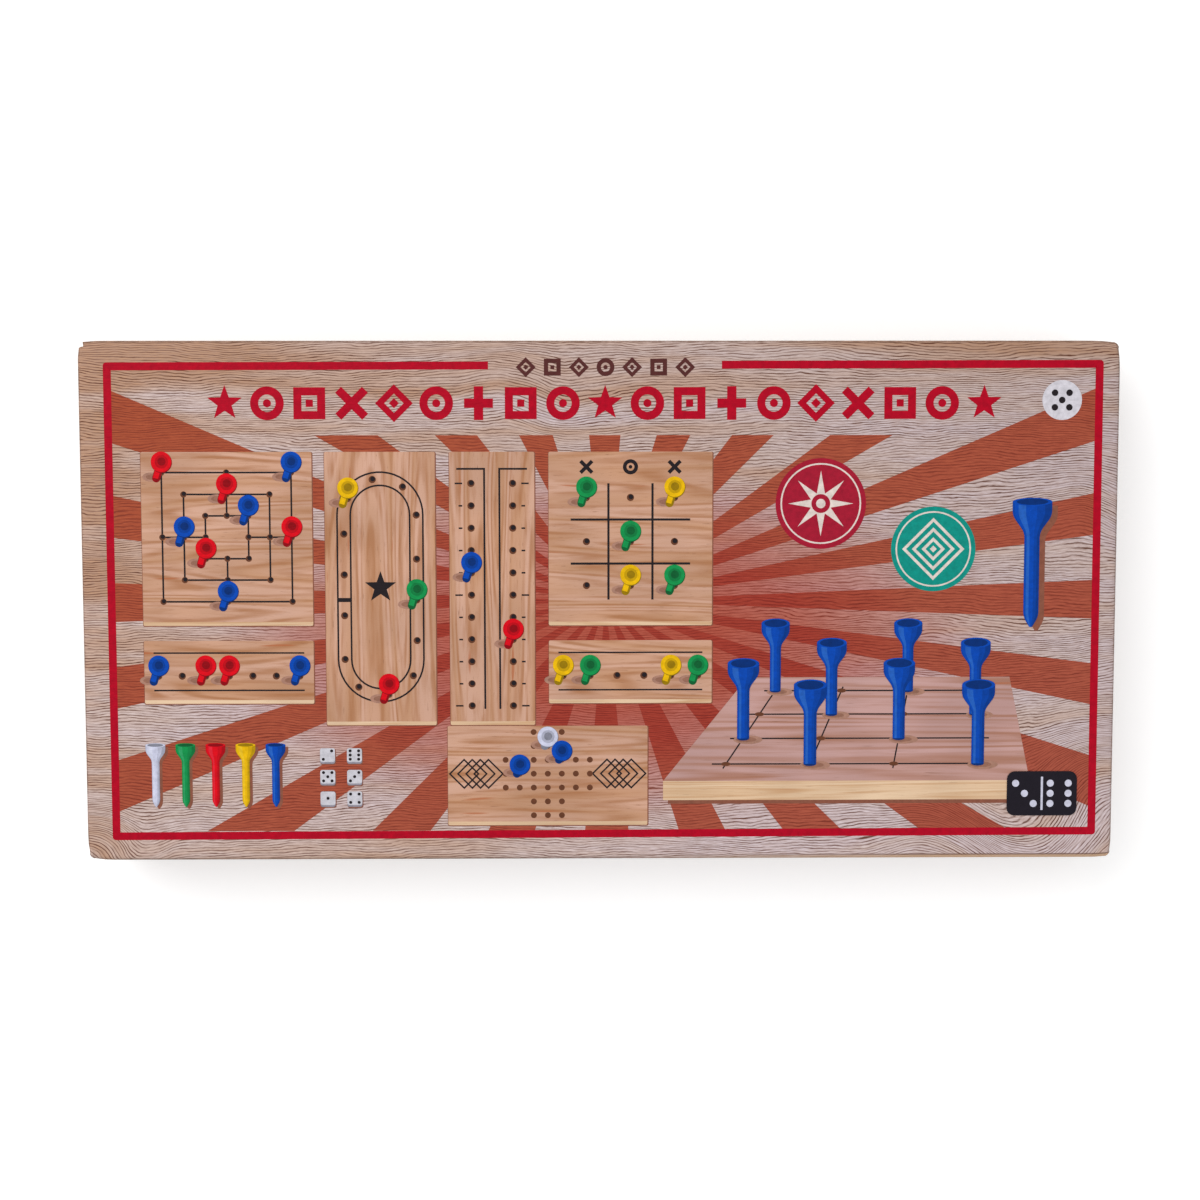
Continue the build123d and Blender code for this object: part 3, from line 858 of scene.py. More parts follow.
placed(base_shell, 0.0, upside_down=True)
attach(base_shell, "base")
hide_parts("base")
for item in (lid_shell, base_shell):
    spans = [round(span / MM, 2) for span in item.dimensions]
    print(item.name, len(item.data.polygons), "faces, spans", spans)


# %% [markdown]
# ## The print on the lid
# Printed shapes lie on the lid as thin meshes, a few hundredths of a millimetre apart, so that
# their edges are as crisp as printed ones and later inks cover earlier ones. Each is drawn flat in
# millimetres about the middle of the lid, then laid on the bowed panel. All shapes in one ink
# become one mesh. The level says which ink covers which: shadows lie lowest, then boards, their
# lines, their holes, and the pegs on top.

# %% Laying ink on the lid
inks = {}                         # name of the ink: the patches drawn in it


def draw(ink, shape, level):
    """Adds a flat shape to an ink, at its level in hundredths of a millimetre above the panel."""
    points, faces = filled(shape)
    height = BOX_TOP + panel_height(points[:, 0], points[:, 1]) + level / 100
    inks.setdefault(ink, []).append((np.column_stack([points, height]), faces))


def line(ink, path, width, level, closed=False):
    """A printed line along a path."""
    draw(ink, ribbon(path, width, closed), level)


def ring(ink, x, y, radius, width, level):
    """A printed ring; the radius is that of the line's middle."""
    line(ink, circle(x, y, radius, 48), width, level, closed=True)


def block(ink, left, top, right, bottom, level, radius):
    """A printed rectangle between its four sides, with rounded corners."""
    middle = ((left + right) / 2, (top + bottom) / 2)
    draw(ink, oblong(*middle, right - left, top - bottom, radius), level)


# %% [markdown]
# ### Sunburst and border
# Twenty-four rays leave the middle. The pattern was drawn round and then stretched along the box,
# so the rays are close together at the sides and wide apart above and below. Along any direction a
# ray ends at the nearest of its limits, the frame or the level line under the heading, so it is a
# grid of directions by shares of that.

# %% Sunburst and border
RAY_MIDDLE, RAYS, STRETCH = np.array([1.6, 0.55]), 24, 1.539
RAY_START, RAY_WIDTH = 11.66, 7.02                   # degrees, before the stretch
RAY_TIP, HEADING_LINE = 0.6, 53.2                    # where a ray begins, and its level end
FRAME = (-155.55, 75.0, 158.15, -74.4)               # the border line: left, top, right, bottom
BORDER_WIDTH = 2.5


def ray(number):
    """Directions by shares of the reach: a direction is an even angle with its x stretched."""
    start = RAY_START + 360 / RAYS * number
    angle = np.radians(start + np.linspace(0, RAY_WIDTH, 13))[:, None]
    across, up = STRETCH * np.cos(angle), np.sin(angle)
    left, top, right, bottom = FRAME
    side = np.where(across > 0, right - 1.0 - RAY_MIDDLE[0], RAY_MIDDLE[0] - left - 1.0)
    side = side / np.abs(across)
    below = np.where(up < 0, (RAY_MIDDLE[1] - bottom - 1.0) / np.maximum(-up, 1e-9), np.inf)
    level = HEADING_LINE if 35 < start < 140 else top - 1.0  # the flattest rays run up to the frame
    above = np.where(up > 0, (level - RAY_MIDDLE[1]) / np.maximum(up, 1e-9), np.inf)
    reach = np.minimum(np.minimum(side, below), above)
    reach = RAY_TIP + (reach - RAY_TIP) * np.linspace(0, 1, 40)[None, :]
    place = np.stack([RAY_MIDDLE[0] + reach * across, RAY_MIDDLE[1] + reach * up], -1)
    return turned_over(grid(place))


for number in range(RAYS):
    draw("terracotta", ray(number), 2)
left, top, right, bottom = FRAME
BORDER = [                        # a little out of true, as the blank is on its folds
    (38.4, top + 0.35), (right, top + 0.6), (right + 0.1, bottom + 0.35),
    (left + 0.1, bottom - 0.6), (left, top - 0.1), (-35.5, top + 0.15)]
for a, b in zip(BORDER, BORDER[1:]):
    line("border_red", [a, b], BORDER_WIDTH, 3)
for x, y in BORDER[1:-1]:                            # each corner is rounded on its outside
    draw("border_red", oblong(x, y, BORDER_WIDTH, BORDER_WIDTH, 1.05), 3.3)

# %% [markdown]
# ### The heading band
# Where a boxed game carries its heading there is a row of plain ornaments in the same red and at
# the same height: lozenges, rings, squares and crosses, as on an old draughts set. A row of small
# dark ones sits in the gap of the border above.

# %% Ornaments in place of a heading
def ornament(kind, ink, x, y, size, level):
    """One of six plain motifs, size high, as bold as a heading's letters."""
    half, bold = size / 2, size * 0.24
    if kind == "ring":
        ring(ink, x, y, half - bold / 2, bold, level)
        draw(ink, circle(x, y, size * 0.12, 20), level)
    elif kind == "lozenge":
        line(ink, regular(x, y, half * 1.14 - bold * 0.6, 4), bold * 0.8, level, closed=True)
        draw(ink, regular(x, y, size * 0.15, 4), level)
    elif kind == "square":
        line(ink, square(x, y, (half - bold / 2) * 0.93), bold, level, closed=True)
        draw(ink, regular(x, y, size * 0.15, 4, 45), level)
    elif kind == "star":
        draw(ink, spiked(x, y, half * 1.08, half * 0.44, 5), level)
    elif kind == "cross":
        line(ink, [(x - half * 0.86, y), (x + half * 0.86, y)], bold * 1.15, level)
        line(ink, [(x, y - half), (x, y + half)], bold * 1.15, level + 0.3)
    elif kind == "saltire":
        reach = half * 0.8
        line(ink, [(x - reach, y - reach), (x + reach, y + reach)], bold * 1.05, level)
        line(ink, [(x - reach, y + reach), (x + reach, y - reach)], bold * 1.05, level + 0.3)


HEADING = ("star", "ring", "square", "saltire", "lozenge",
           "ring", "cross", "square", "ring", "star")
SMALL_ROW = ("lozenge", "square", "lozenge", "ring", "lozenge", "square", "lozenge")
for i, kind in enumerate(HEADING + HEADING[-2::-1]):       # the second half mirrors the first
    ornament(kind, "border_red", 1.5 + (i - 9) * 13.35, 63.3, 10.6, 3)
for i, kind in enumerate(SMALL_ROW):
    ornament(kind, "dark_brown", 1.6 + (i - 3) * 8.4, 74.6, 5.6, 3)

# %% [markdown]
# ### Pictures of the boards, pegs and dice
# The lid shows what is inside: pale boards with a lighter edge, black lines and brown holes, and
# pegs seen from above with the dark cup in each head. The patterns are the oldest board games there
# are: nine men's morris, noughts and crosses, an oval race, fox and geese and solitaire.

# %% Drawing boards, holes and pegs
LINES, HOLES = 6.4, 7                                # the levels of a board's lines and its holes


def board_picture(left, top, right, bottom, grain="pine_upright"):
    """A board with its shadow on the ground, its lighter sawn edge below and its face."""
    block("shade", left - 0.15, top, right + 0.35, bottom - 1.5, 3, 0.6)
    block("pine_edge", left, top, right, bottom - 1.2, 4, 0.5)
    block(grain, left, top, right, bottom, 5, 0.5)


def black_line(path, width, level=LINES, closed=False):
    """A line of a pictured board."""
    line("black", path, width, level, closed)


def hole(x, y, radius=1.15):
    """A pictured hole: a brown rim, and the dark inside a little up and to the right."""
    draw("hole", circle(x, y, radius, 20), HOLES)
    draw("black", circle(x + 0.15, y + 0.2, radius * 0.68, 16), 7.6)


def peg_above(colour, x, y, lean=(-1.6, -5.2)):
    """A peg standing in a board, seen from above and in front: shaft, head, and the cup's dark
    mouth."""
    foot = (x + lean[0], y + lean[1])
    dark = colour + "_deep"
    draw("soft_shadow", circle(foot[0] - 1.5, foot[1] + 0.4, 2.9, 24, squash=0.5), 7.8)
    draw("peg_shadow", circle(foot[0] - 1.2, foot[1] + 0.4, 2.1, 24, squash=0.42), 8)
    draw(dark, circle(*foot, 1.3, 16), 9)
    line(dark, [foot, (x, y)], 2.6, 9.3)
    line(colour, [(foot[0] - 0.25, foot[1]), (x - 0.3, y)], 1.7, 9.7)
    draw(dark, circle(x + 0.12, y - 0.18, 3.35, 36), 10.2)
    draw(colour, circle(x, y, 3.25, 36), 10.7)
    draw(colour + "_mid", circle(x + 0.1, y, 2.1, 28), 11.2)
    draw(dark, circle(x + 0.15, y + 0.1, 1.3, 24), 11.7)


# %% [markdown]
# Nine men's morris is three squares, one inside the other, joined at the middles of their sides.
# Its men stand at the corners and the joints: 24 places.

# %% The morris board and the noughts and crosses board
PEG_TALL = 3.4                                       # how far above its hole a peg's head is drawn
STRAIGHT, SLANTING = ((1, 0), (-1, 0), (0, 1), (0, -1)), ((1, 1), (1, -1), (-1, 1), (-1, -1))


def morris_picture(x, y):
    """The morris board with four red and four blue men on it, about a middle."""
    board_picture(x - 27, y + 27, x + 27, y - 27, "pine_level")
    outer, middle, inner = 20.5, 13.6, 6.8
    for half in (outer, middle, inner):
        black_line(square(x, y, half), 0.55, closed=True)
        for across, up in STRAIGHT + SLANTING:
            hole(x + across * half, y + up * half, 1.0)
    for across, up in STRAIGHT:
        joint = [(x + across * half, y + up * half) for half in (inner, outer)]
        black_line(joint, 0.55, LINES + 0.2)
    men = (("red", -outer, outer), ("red", 0, middle), ("red", -inner, -inner),
           ("red", outer, 0), ("blue", outer, outer), ("blue", -middle, 0),
           ("blue", inner, inner), ("blue", 0, -outer))
    for colour, across, up in men:
        peg_above(colour, x + across, y + up + PEG_TALL)


def crosses_picture(x, y):
    """Nine holes between four lines, a row of marks above them, and five pegs of two players."""
    board_picture(x - 26, y + 27, x + 26, y - 27, "pine_level")
    pitch, low = 14, y - 1.5
    for shift in (-pitch / 2, pitch / 2):
        black_line([(x + shift, y - 20), (x + shift, y + 17)], 0.7)
        black_line([(x - 19, low + shift), (x + 19, low + shift)], 0.7, LINES + 0.2)
    for kind, across, size in (("saltire", -1, 4.6), ("ring", 0, 4.8), ("saltire", 1, 4.6)):
        ornament(kind, "black", x + pitch * across, y + 22.2, size, LINES)
    for across in (-1, 0, 1):
        for up in (-1, 0, 1):
            hole(x + pitch * across, low + pitch * up)
    men = (("green", -1, 1), ("green", 0, 0), ("yellow", 1, 1), ("yellow", 0, -1), ("green", 1, -1))
    for colour, across, up in men:
        peg_above(colour, x + pitch * across, low + pitch * up + PEG_TALL)


# %% [markdown]
# The race runs round an oval, two half circles joined by straights. Fox and geese, or solitaire, is
# a cross of three by seven places. The tall board holds two columns that count up.

# %% The race, the columns, the cross and the rows
def oval(x, y, radius, straight, sides=24):
    """The closed outline of a half circle, a straight, a half circle and a straight."""
    turn = np.linspace(0, math.pi, sides)
    far = np.stack([x + radius * np.cos(turn), y + straight / 2 + radius * np.sin(turn)], -1)
    near = np.stack([x - radius * np.cos(turn), y - straight / 2 - radius * np.sin(turn)], -1)
    return np.vstack([far, near])


def race_picture(x, y):
    """Fourteen holes between two ovals, a starting line, and three runners."""
    board_picture(x - 17.5, y + 43, x + 17.5, y - 43)
    outer, inner, straight, places = 13.6, 9.4, 46, 14
    for radius in (outer, inner):
        black_line(oval(x, y, radius, straight), 0.55, closed=True)
    around = dense(oval(x, y, (outer + inner) / 2, straight), 1.0)
    runners = {3: "yellow", 9: "red", 12: "green"}
    for i in range(places):
        across, up = around[int(len(around) * i / places)]
        hole(across, up)
        if i in runners:
            peg_above(runners[i], across, up + PEG_TALL)
    draw("black", spiked(x, y, 5.2, 2.1, 5), LINES)
    black_line([(x - outer, y - 4), (x - inner, y - 4)], 1.3, LINES + 0.2)


def columns_picture(x, y):
    """Two columns of eleven holes, a tick beside each, and one peg on its way in either."""
    board_picture(x - 13.5, y + 43, x + 13.5, y - 43)
    first, pitch, column = y + 33, 7.1, 6.6
    for i in range(11):
        up = first - i * pitch
        tick = 1.60 if i % 5 else 1.78               # every fifth tick is longer
        for across in (-column, column):
            hole(x + across, up)
            black_line([(x + across * 1.42, up), (x + across * tick, up)], 0.5)
    for side in (-1, 1):
        corner = x + side * 2.4
        black_line([(corner, y - 39), (corner, y + 37.6), (x + side * 11.2, y + 37.6)], 0.6)
    peg_above("blue", x - column, first - 4 * pitch + PEG_TALL)
    peg_above("red", x + column, first - 7 * pitch + PEG_TALL)


def cross_picture(x, y):
    """The solitaire cross, three places wide and seven long both ways, between overlapping
    lozenges."""
    board_picture(x - 32, y + 15.5, x + 32, y - 15.5, "pine_level")
    pitch = 4.5
    for across in range(-3, 4):
        for up in range(-3, 4):
            if min(abs(across), abs(up)) <= 1:
                draw("hole", circle(x + across * pitch, y + up * pitch, 0.95, 16), HOLES)
    for side in (-1, 1):
        for k in range(4):
            lozenge = regular(x + side * (19.0 + 2.6 * k), y, 4.6, 4)
            black_line(lozenge, 0.5, LINES + 0.1 * k, closed=True)
    for colour, across, up in (("blue", -2, 0), ("blue", 1, 1), ("white", 0, 2)):
        peg_above(colour, x + across * pitch, y + up * pitch + 3.0, (-0.9, -3.0))


def row_picture(x, y, half, men, count):
    """A plain row of holes between two lines, some of them filled."""
    board_picture(x - half, y + 9.5, x + half, y - 9.5, "pine_level")
    for up in (5.6, -6.4):
        black_line([(x - half + 3, y + up), (x + half - 3, y + up)], 0.5)
    for i, place in enumerate(np.linspace(x - half + 4.5, x + half - 4.5, count)):
        hole(place, y - 1.8)
        if i in men:
            peg_above(men[i], place, y - 1.8 + PEG_TALL)


morris_picture(-118.5, 21.0)
race_picture(-70.0, 5.0)
columns_picture(-34.5, 5.0)
crosses_picture(9.5, 21.0)
row_picture(-118.5, -21.5, 27, {0: "blue", 2: "red", 3: "red", 6: "blue"}, 7)
row_picture(9.5, -21.5, 26, {0: "yellow", 1: "green", 4: "yellow", 5: "green"}, 6)
cross_picture(-17.0, -55.0)

# %% [markdown]
# The pegs are shown once more from the side, one in each colour, and the dice from above. The drawn
# peg has the measures of the real one, which is moulded further on.

# %% Pegs from the side, and dice
PEG_LENGTH, HEAD, SHAFT = 36.0, 5.7, 2.2             # the length, and the radii of head and shaft
TAPER, NECK, SHOULDER = 3.0, 27.2, 32.0              # heights where point, shaft and neck end
PEG_BODY = [(SHAFT, TAPER), (SHAFT, NECK), (HEAD, SHOULDER), (HEAD, PEG_LENGTH)]
PEG_SIDE = rounded([(0.4, 0)] + PEG_BODY, 1.6) / PEG_LENGTH


def peg_aside(colour, x, foot, length, level=8.0, sunk=0.0, squash=0.2):
    """The peg's own side view, less the share of it sunk in a board, in four tones: lit strip,
    plain body and two darker ones towards the right. The cup's rim is an ellipse, flatter the lower
    one looks from."""
    above = PEG_SIDE[:, 1] > sunk
    radius = np.append(np.interp(sunk, PEG_SIDE[:, 1], PEG_SIDE[:, 0]), PEG_SIDE[above, 0]) * length
    up = foot + np.append(0.0, PEG_SIDE[above, 1] - sunk) * length

    def strip(start, stop):
        """The part of the side view between two shares of its width."""
        sides = [np.stack([x + radius * (2 * share - 1), up], -1) for share in (start, stop)]
        return turned_over(grid(np.stack(sides)))
    if sunk:
        girth = radius[0]
        draw("soft_shadow", circle(x + 0.8 * girth, foot - 0.4, 2.4 * girth, 28, squash=0.3), 7.8)
        draw("peg_shadow", circle(x + 0.5 * girth, foot - 0.35, 1.7 * girth, 28, squash=0.26), 8)
        draw(colour + "_deep", circle(x, foot, girth, 20, squash), level - 0.3)
    else:
        draw("shade", moved(strip(0, 1), (0.045 * length, -0.03 * length)), 3)
    for tone, start, stop, step in (("_dim", 0, 1, 0), ("_soft", 0, 0.82, 0.3),
                                    ("", 0.05, 0.62, 0.6), ("_lit", 0.15, 0.34, 0.9)):
        draw(colour + tone, strip(start, stop), level + step)
    for tone, share, step in (("", 1.0, 1.2), ("_deep", 0.80, 1.5)):
        draw(colour + tone, circle(x, up[-1], radius[-1] * share, 36, squash), level + step)


def die_picture(x, y, pips):
    """A die from above: shadow, the side that faces the viewer, the upper side and its pips."""
    block("shade", x - 2.3, y + 2.2, x + 2.7, y - 2.9, 3, 0.6)
    block("bone_deep", x - 2.4, y + 2.4, x + 2.4, y - 2.6, 8, 0.7)
    block("bone", x - 2.4, y + 2.4, x + 2.4, y - 2.0, 8.6, 0.7)
    for across, up in pips:
        draw("black", circle(x + across * 1.35, y + 0.2 + up * 1.35, 0.5, 14), 9.4)


FACES = {                         # where the pips stand
    1: [(0, 0)], 2: [(-1, -1), (1, 1)], 3: [(-1, -1), (0, 0), (1, 1)],
    4: [(-1, -1), (-1, 1), (1, -1), (1, 1)]}
FACES |= {5: FACES[4] + [(0, 0)], 6: FACES[4] + [(-1, 0), (1, 0)]}
for i, colour in enumerate(("white", "green", "red", "yellow", "blue")):
    peg_aside(colour, -142.5 + 9.6 * i, -65.5, 20.0)
for i, count in enumerate((2, 5, 1, 6, 3, 4)):
    die_picture(-87.5 + 8.6 * (i // 3), -49.0 - 7.0 * (i % 3), FACES[count])

# %% [markdown]
# ### The large picture, the discs and the plaque
# At the lower right a square board lies in perspective with blue pegs standing in it. A place on it
# is found from two shares, across and away: the width shrinks evenly with distance and the depth by
# a power.

# %% The board in perspective
def on_board(across, away):
    """The place in the picture of a point of the board, given shares 0 to 1 across it and away."""
    across, away = np.asarray(across, float), np.asarray(away, float) ** 0.92
    near_x, far_x = 20.0 + 118.0 * across, 47.0 + 84.0 * across
    return np.stack([near_x + (far_x - near_x) * away, -57.5 + 33.5 * away + 0 * near_x], -1)


rim, run = np.linspace(0, 1, 24), np.linspace(0.1, 0.9, 20)
front = on_board(rim, 0 * rim)
front_edge = turned_over(grid(np.stack([front, front - (0, 6.2)])))
draw("shade", moved(front_edge, (1.6, -1.2)), 3)
draw("pine_edge", front_edge, 5)
draw("pine_far", grid(on_board(*np.meshgrid(rim, rim))), 5)
PLACES = (0.14, 0.38, 0.62, 0.86)                    # shares at which the lines and the holes stand
for share in PLACES:
    black_line(on_board(run, share + 0 * run), 0.45)
    black_line(on_board(share + 0 * run, run), 0.45, LINES + 0.3)
    for other in PLACES:
        draw("hole", circle(*on_board(other, share), 1.5, 20, squash=0.45), HOLES + 0.2)
STANDING = ((0, 3), (2, 3), (1, 2), (3, 2), (0, 1), (2, 1), (1, 0), (3, 0))     # the far pegs first
for column, row in STANDING:
    share, depth = PLACES[column], PLACES[row]
    length, level = 34.5 - 7.0 * depth, 9 + 8 * (1 - depth)
    peg_aside("blue", *on_board(share, depth), length, level, 0.24, 0.34)

# %% Discs and plaque
red_disc, green_disc, white_disc = (70.0, 31.5), (106.0, 17.0), (146.4, 64.2)
draw("disc_red", circle(*red_disc, 14.4, 64), 4)
ring("disc_line", *red_disc, 12.6, 0.5, 5)
draw("disc_line", spiked(*red_disc, 10.4, 3.4, 8), 5)
draw("disc_red", circle(*red_disc, 3.0, 32), 5.6)
draw("disc_line", circle(*red_disc, 1.5, 24), 6.2)
draw("disc_green", circle(*green_disc, 13.5, 64), 4)
ring("disc_line", *green_disc, 11.8, 0.5, 5)
for k in (2.7, 5.4, 8.1):
    line("disc_line", regular(*green_disc, k * 1.15, 4), 0.9, 5, closed=True)
draw("disc_line", regular(*green_disc, 1.1, 4), 5)
draw("white_ink", circle(*white_disc, 6.3, 48), 4)
for across, up in FACES[5]:
    draw("black", circle(white_disc[0] + 2.3 * across, white_disc[1] + 2.3 * up, 1.05, 20), 5)
block("plaque", 130.7, -54.6, 153.3, -69.0, 22.8, 2.5)
line("plaque_line", [(142.0, -56.4), (142.0, -67.2)], 0.7, 23.6)
for centre, pitch, count in ((136.4, -2.9, 3), (147.6, 2.9, 6)):
    for across, up in FACES[count]:
        draw("plaque_line", circle(centre + pitch * across, -61.8 + 3.3 * up, 1.15, 20), 23.6)
peg_aside("blue", 137.5, -8.0, 40.0)


# %% [markdown]
# Each ink becomes one mesh in its own colour. A printed peg's colour comes in six tones, from a lit
# one to a deep one. The pictured boards have an ink of their own, with bands, growth rings and
# dashes that run upright or level as the board does.

# %% The inks
FACE_TONES = ((206, 163, 141), (192, 145, 114), (158, 103, 64))      # bright, plain, deep
FAR_TONES = ((194, 155, 150), (184, 143, 134), (152, 99, 71))
EDGE_TONES = ((226, 196, 164), (215, 181, 146), (190, 146, 106))


def pine_ink(name, stretch, tones=FACE_TONES):
    """A picture of planed pine. Broad bands of a long stretched noise give the tone; the same
    noise, counted in steps, gives the growth rings as contour lines; short dashes and a rare amber
    streak lie over them."""
    finish = Finish(name, gloss=PRINT_GLOSS)
    where = finish.object_mm()
    kinds = ((0.075, 1.0), (0.9, 3.0), (0.42, 1.0), (2.6, 2.0))      # how fine, and the detail
    wide, streak, resin, dash = [
        finish.noise(where, [fine * s for s in stretch], detail, 0.6) for fine, detail in kinds]
    bright, plain, deep = [rgb(*tone) for tone in tones]
    body = finish.steps(wide, (0.34, plain), (0.44, bright), (0.52, plain), (0.60, bright),
                        (0.72, plain))
    drift = finish.noise(where, (0.028, 0.034, 0), detail=2.0)
    body = finish.mix(1.0, body, finish.steps(drift, (0.38, 0.86), (0.60, 1.0)), blend="MULTIPLY")
    rings = finish.wave(finish.plus(wide, finish.times(streak, 0.02)), 1 / 17)
    rings = finish.plus(finish.times(rings, 0.5), 0.5)
    strength = finish.steps(resin, (0.38, 0.15), (0.60, 0.66))
    late = finish.times(finish.steps(rings, (0.35, 0.0), (0.96, 1.0)), strength)
    body = finish.mix(late, body, deep)
    body = finish.mix(finish.steps(streak, (0.50, 0.0), (0.74, 0.5)), body, deep)
    body = finish.mix(finish.steps(dash, (0.66, 0.0), (0.72, 0.55)), body, rgb(122, 82, 62))
    amber = finish.steps(resin, (0.71, 0.0), (0.75, 0.75))
    finish.colour(finish.mix(amber, body, rgb(170, 98, 62)))
    return finish.relief(strokes_under(finish), 0.03, 0.4).material


PEG_PRINT = {
    "red": (222, 6, 26), "blue": (4, 72, 178), "green": (18, 146, 76), "yellow": (236, 186, 6),
    "white": (206, 208, 230)}
PEG_TONES = {"": 1.0, "_mid": 0.84, "_deep": 0.64, "_dim": 0.78, "_soft": 0.90}
INK_COLOURS = {
    "border_red": (178, 2, 34), "dark_brown": (86, 43, 41), "black": (34, 28, 32),
    "hole": (104, 62, 42), "shade": (138, 84, 66), "peg_shadow": (150, 106, 88),
    "soft_shadow": (172, 128, 110), "bone": (206, 204, 212), "bone_deep": (150, 146, 158),
    "disc_red": (165, 25, 50), "disc_green": (14, 145, 132), "disc_line": (226, 212, 204),
    "white_ink": (214, 210, 218), "plaque": (28, 24, 33), "plaque_line": (208, 208, 226)}
for colour, plain in PEG_PRINT.items():
    INK_COLOURS |= {colour + tone: toned(plain, share) for tone, share in PEG_TONES.items()}
    INK_COLOURS[colour + "_lit"] = tuple(c + (255 - c) * 0.13 for c in plain)
finishes = {name: printed_ink("ink_" + name, colour) for name, colour in INK_COLOURS.items()}
finishes["terracotta"] = printed_rays("ink_terracotta")
finishes["pine_upright"] = pine_ink("ink_pine_upright", (1, 0.075, 0))
finishes["pine_level"] = pine_ink("ink_pine_level", (0.075, 1, 0))
finishes["pine_far"] = pine_ink("ink_pine_far", (0.03, 0.8, 0), FAR_TONES)
finishes["pine_edge"] = pine_ink("ink_pine_edge", (0.05, 1.6, 0), EDGE_TONES)
for name, patches in inks.items():
    piece("print_" + name, joined(patches), [finishes[name]], "lid", sharp=60)
count = sum(len(points) for patches in inks.values() for points, _ in patches)
print(len(inks), "inks", count, "points")


# %% [markdown]
# ## The boards inside
# The seven boards are sawn from pine and sanded. Pine shows its growth rings: the tree's axis runs
# along the board somewhere below it, and the colour depends on the distance from that axis, pale in
# the spring wood and amber in the narrow summer wood. One formula then gives straight lines on the
# edges, wide flames in the middle of the face and arcs on the sawn ends. Every board has its own
# axis, so no two look alike.

# %% Pine
def pine(name, axis, along, tone):
    """Pine with its rings about a line through axis (across, height), along X or Y. The line leans
    a little, and noise bends it; the distance from it, in years of growth, says where a ring is
    pale or amber."""
    finish = Finish(name, roughness=0.58, gloss=0.4)
    where = finish.object_mm()
    if along == "X":
        where = finish.turned(where, (0, 0, 0), math.pi / 2)
    across, height = axis
    bend = finish.vector("MULTIPLY", finish.noise(where, (0.016, 0.004, 0.016)), (16, 0, 16))
    leaning = finish.turned(where, (across, 0, height), 0.022, "X")
    from_axis = finish.vector("ADD", leaning, bend)
    from_axis = finish.vector("SUBTRACT", from_axis, (across + 8, 0, height + 8))
    far = finish.measure("LENGTH", finish.vector("MULTIPLY", from_axis, (1, 0, 1)))
    uneven = finish.noise(where, (0.05, 0.01, 0.05), detail=1.0)
    year = finish.sum("FRACT", finish.plus(finish.times(far, 0.34), uneven))
    late = finish.steps(year, (0.0, 0.0), (0.45, 0.10), (0.86, 0.85), (0.93, 1.0), (1.0, 0.0))
    fibre = finish.noise(where, (2.6, 0.05, 2.6), detail=4.0, roughness=0.7)
    cloud = finish.noise(where, (0.03, 0.012, 0.03), detail=2.0)
    tones = ((233, 204, 160), (222, 188, 140), (196, 148, 96))
    pale, plain, amber = [rgb(*toned(colour, tone)) for colour in tones]
    early = finish.mix(finish.steps(cloud, (0.3, 0.0), (0.7, 1.0)), pale, plain)
    body = finish.mix(finish.times(late, 0.75), early, amber)
    finish.colour(finish.mix(finish.steps(fibre, (0.42, 0.35), (0.60, 0.0)), body, amber))
    return finish.relief(finish.plus(fibre, finish.times(late, 0.4)), 0.06, 0.5).material


def finish_node(name, material):
    """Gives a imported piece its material; its mesh stays as it is."""
    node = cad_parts[name]
    node.data.materials.clear()
    node.data.materials.append(material)


BOARDS = {                        # middle x, y; top; axis of the rings (across, up); grain; tone
    "track_board": (-127.9, 0.0, 11.7, (-118.0, -34.0), "Y", 1.0),
    "ladder_board": (-71.4, 0.0, 11.7, (-96.0, -22.0), "Y", 0.97),
    "number_row_board": (-2.3, 0.0, 11.7, (4.0, -46.0), "Y", 1.02),
    "grid_board": (63.7, -29.4, 11.7, (52.0, -28.0), "Y", 1.0),
    "swap_row_board": (90.2, 0.0, 21.9, (76.0, -20.0), "Y", 0.98),
    "star_board": (24.2, -28.4, 21.9, (36.0, -32.0), "X", 1.01),
    "triangle_board": (-92.3, -37.93, 21.9, (38.0, -16.0), "X", 1.0)}
for name, (x, y, top, axis, grain, tone) in BOARDS.items():
    finish_node(name, pine("pine_of_" + name, axis, grain, tone))

# %% [markdown]
# ### Lines and numbers on the boards
# The playing lines are screen printed in black, a few hundredths of a millimetre thick: the same
# ribbons as on the lid, laid flat on each board. The numbers are set in a plain typeface and turned
# into meshes.

# %% Numbers and board ink
digit_shapes = {}                 # each number's flat patch, made when it is first asked for


def number(value, x, y, size, turn=0.0):
    """The digits of a number as one flat patch, centred on x, y and turned by so many degrees."""
    if value not in digit_shapes:
        text = bpy.data.curves.new("digits", "FONT")
        text.body, text.align_x, text.align_y, text.resolution_u = str(value), "CENTER", "CENTER", 4
        carrier = bpy.data.objects.new("digits", text)
        flat = carrier.to_mesh()
        faces = [list(face.vertices) for face in flat.polygons]
        digit_shapes[value] = (points_of(flat)[:, :2], faces)
        carrier.to_mesh_clear()
        bpy.data.objects.remove(carrier)
        bpy.data.curves.remove(text)
    points, faces = digit_shapes[value]
    middle = (points.max(0) + points.min(0)) / 2
    angle = math.radians(turn)
    spin = np.array([[math.cos(angle), math.sin(angle)], [-math.sin(angle), math.cos(angle)]])
    return (points - middle) * size @ spin + (x, y), faces


board_ink = printed_ink("board_ink", (40, 34, 34))


def ink_on(board, shapes):
    """Lays flat shapes, given about the board's middle, on its top face as one mesh of ink."""
    x, y, top = BOARDS[board][:3]
    points, faces = moved(joined(map(filled, shapes)), (x, y))
    height = np.full(len(points), top + 0.03)
    patch = (np.column_stack([points, height]), faces)
    piece("lines_of_" + board, patch, [board_ink], board, sharp=60)


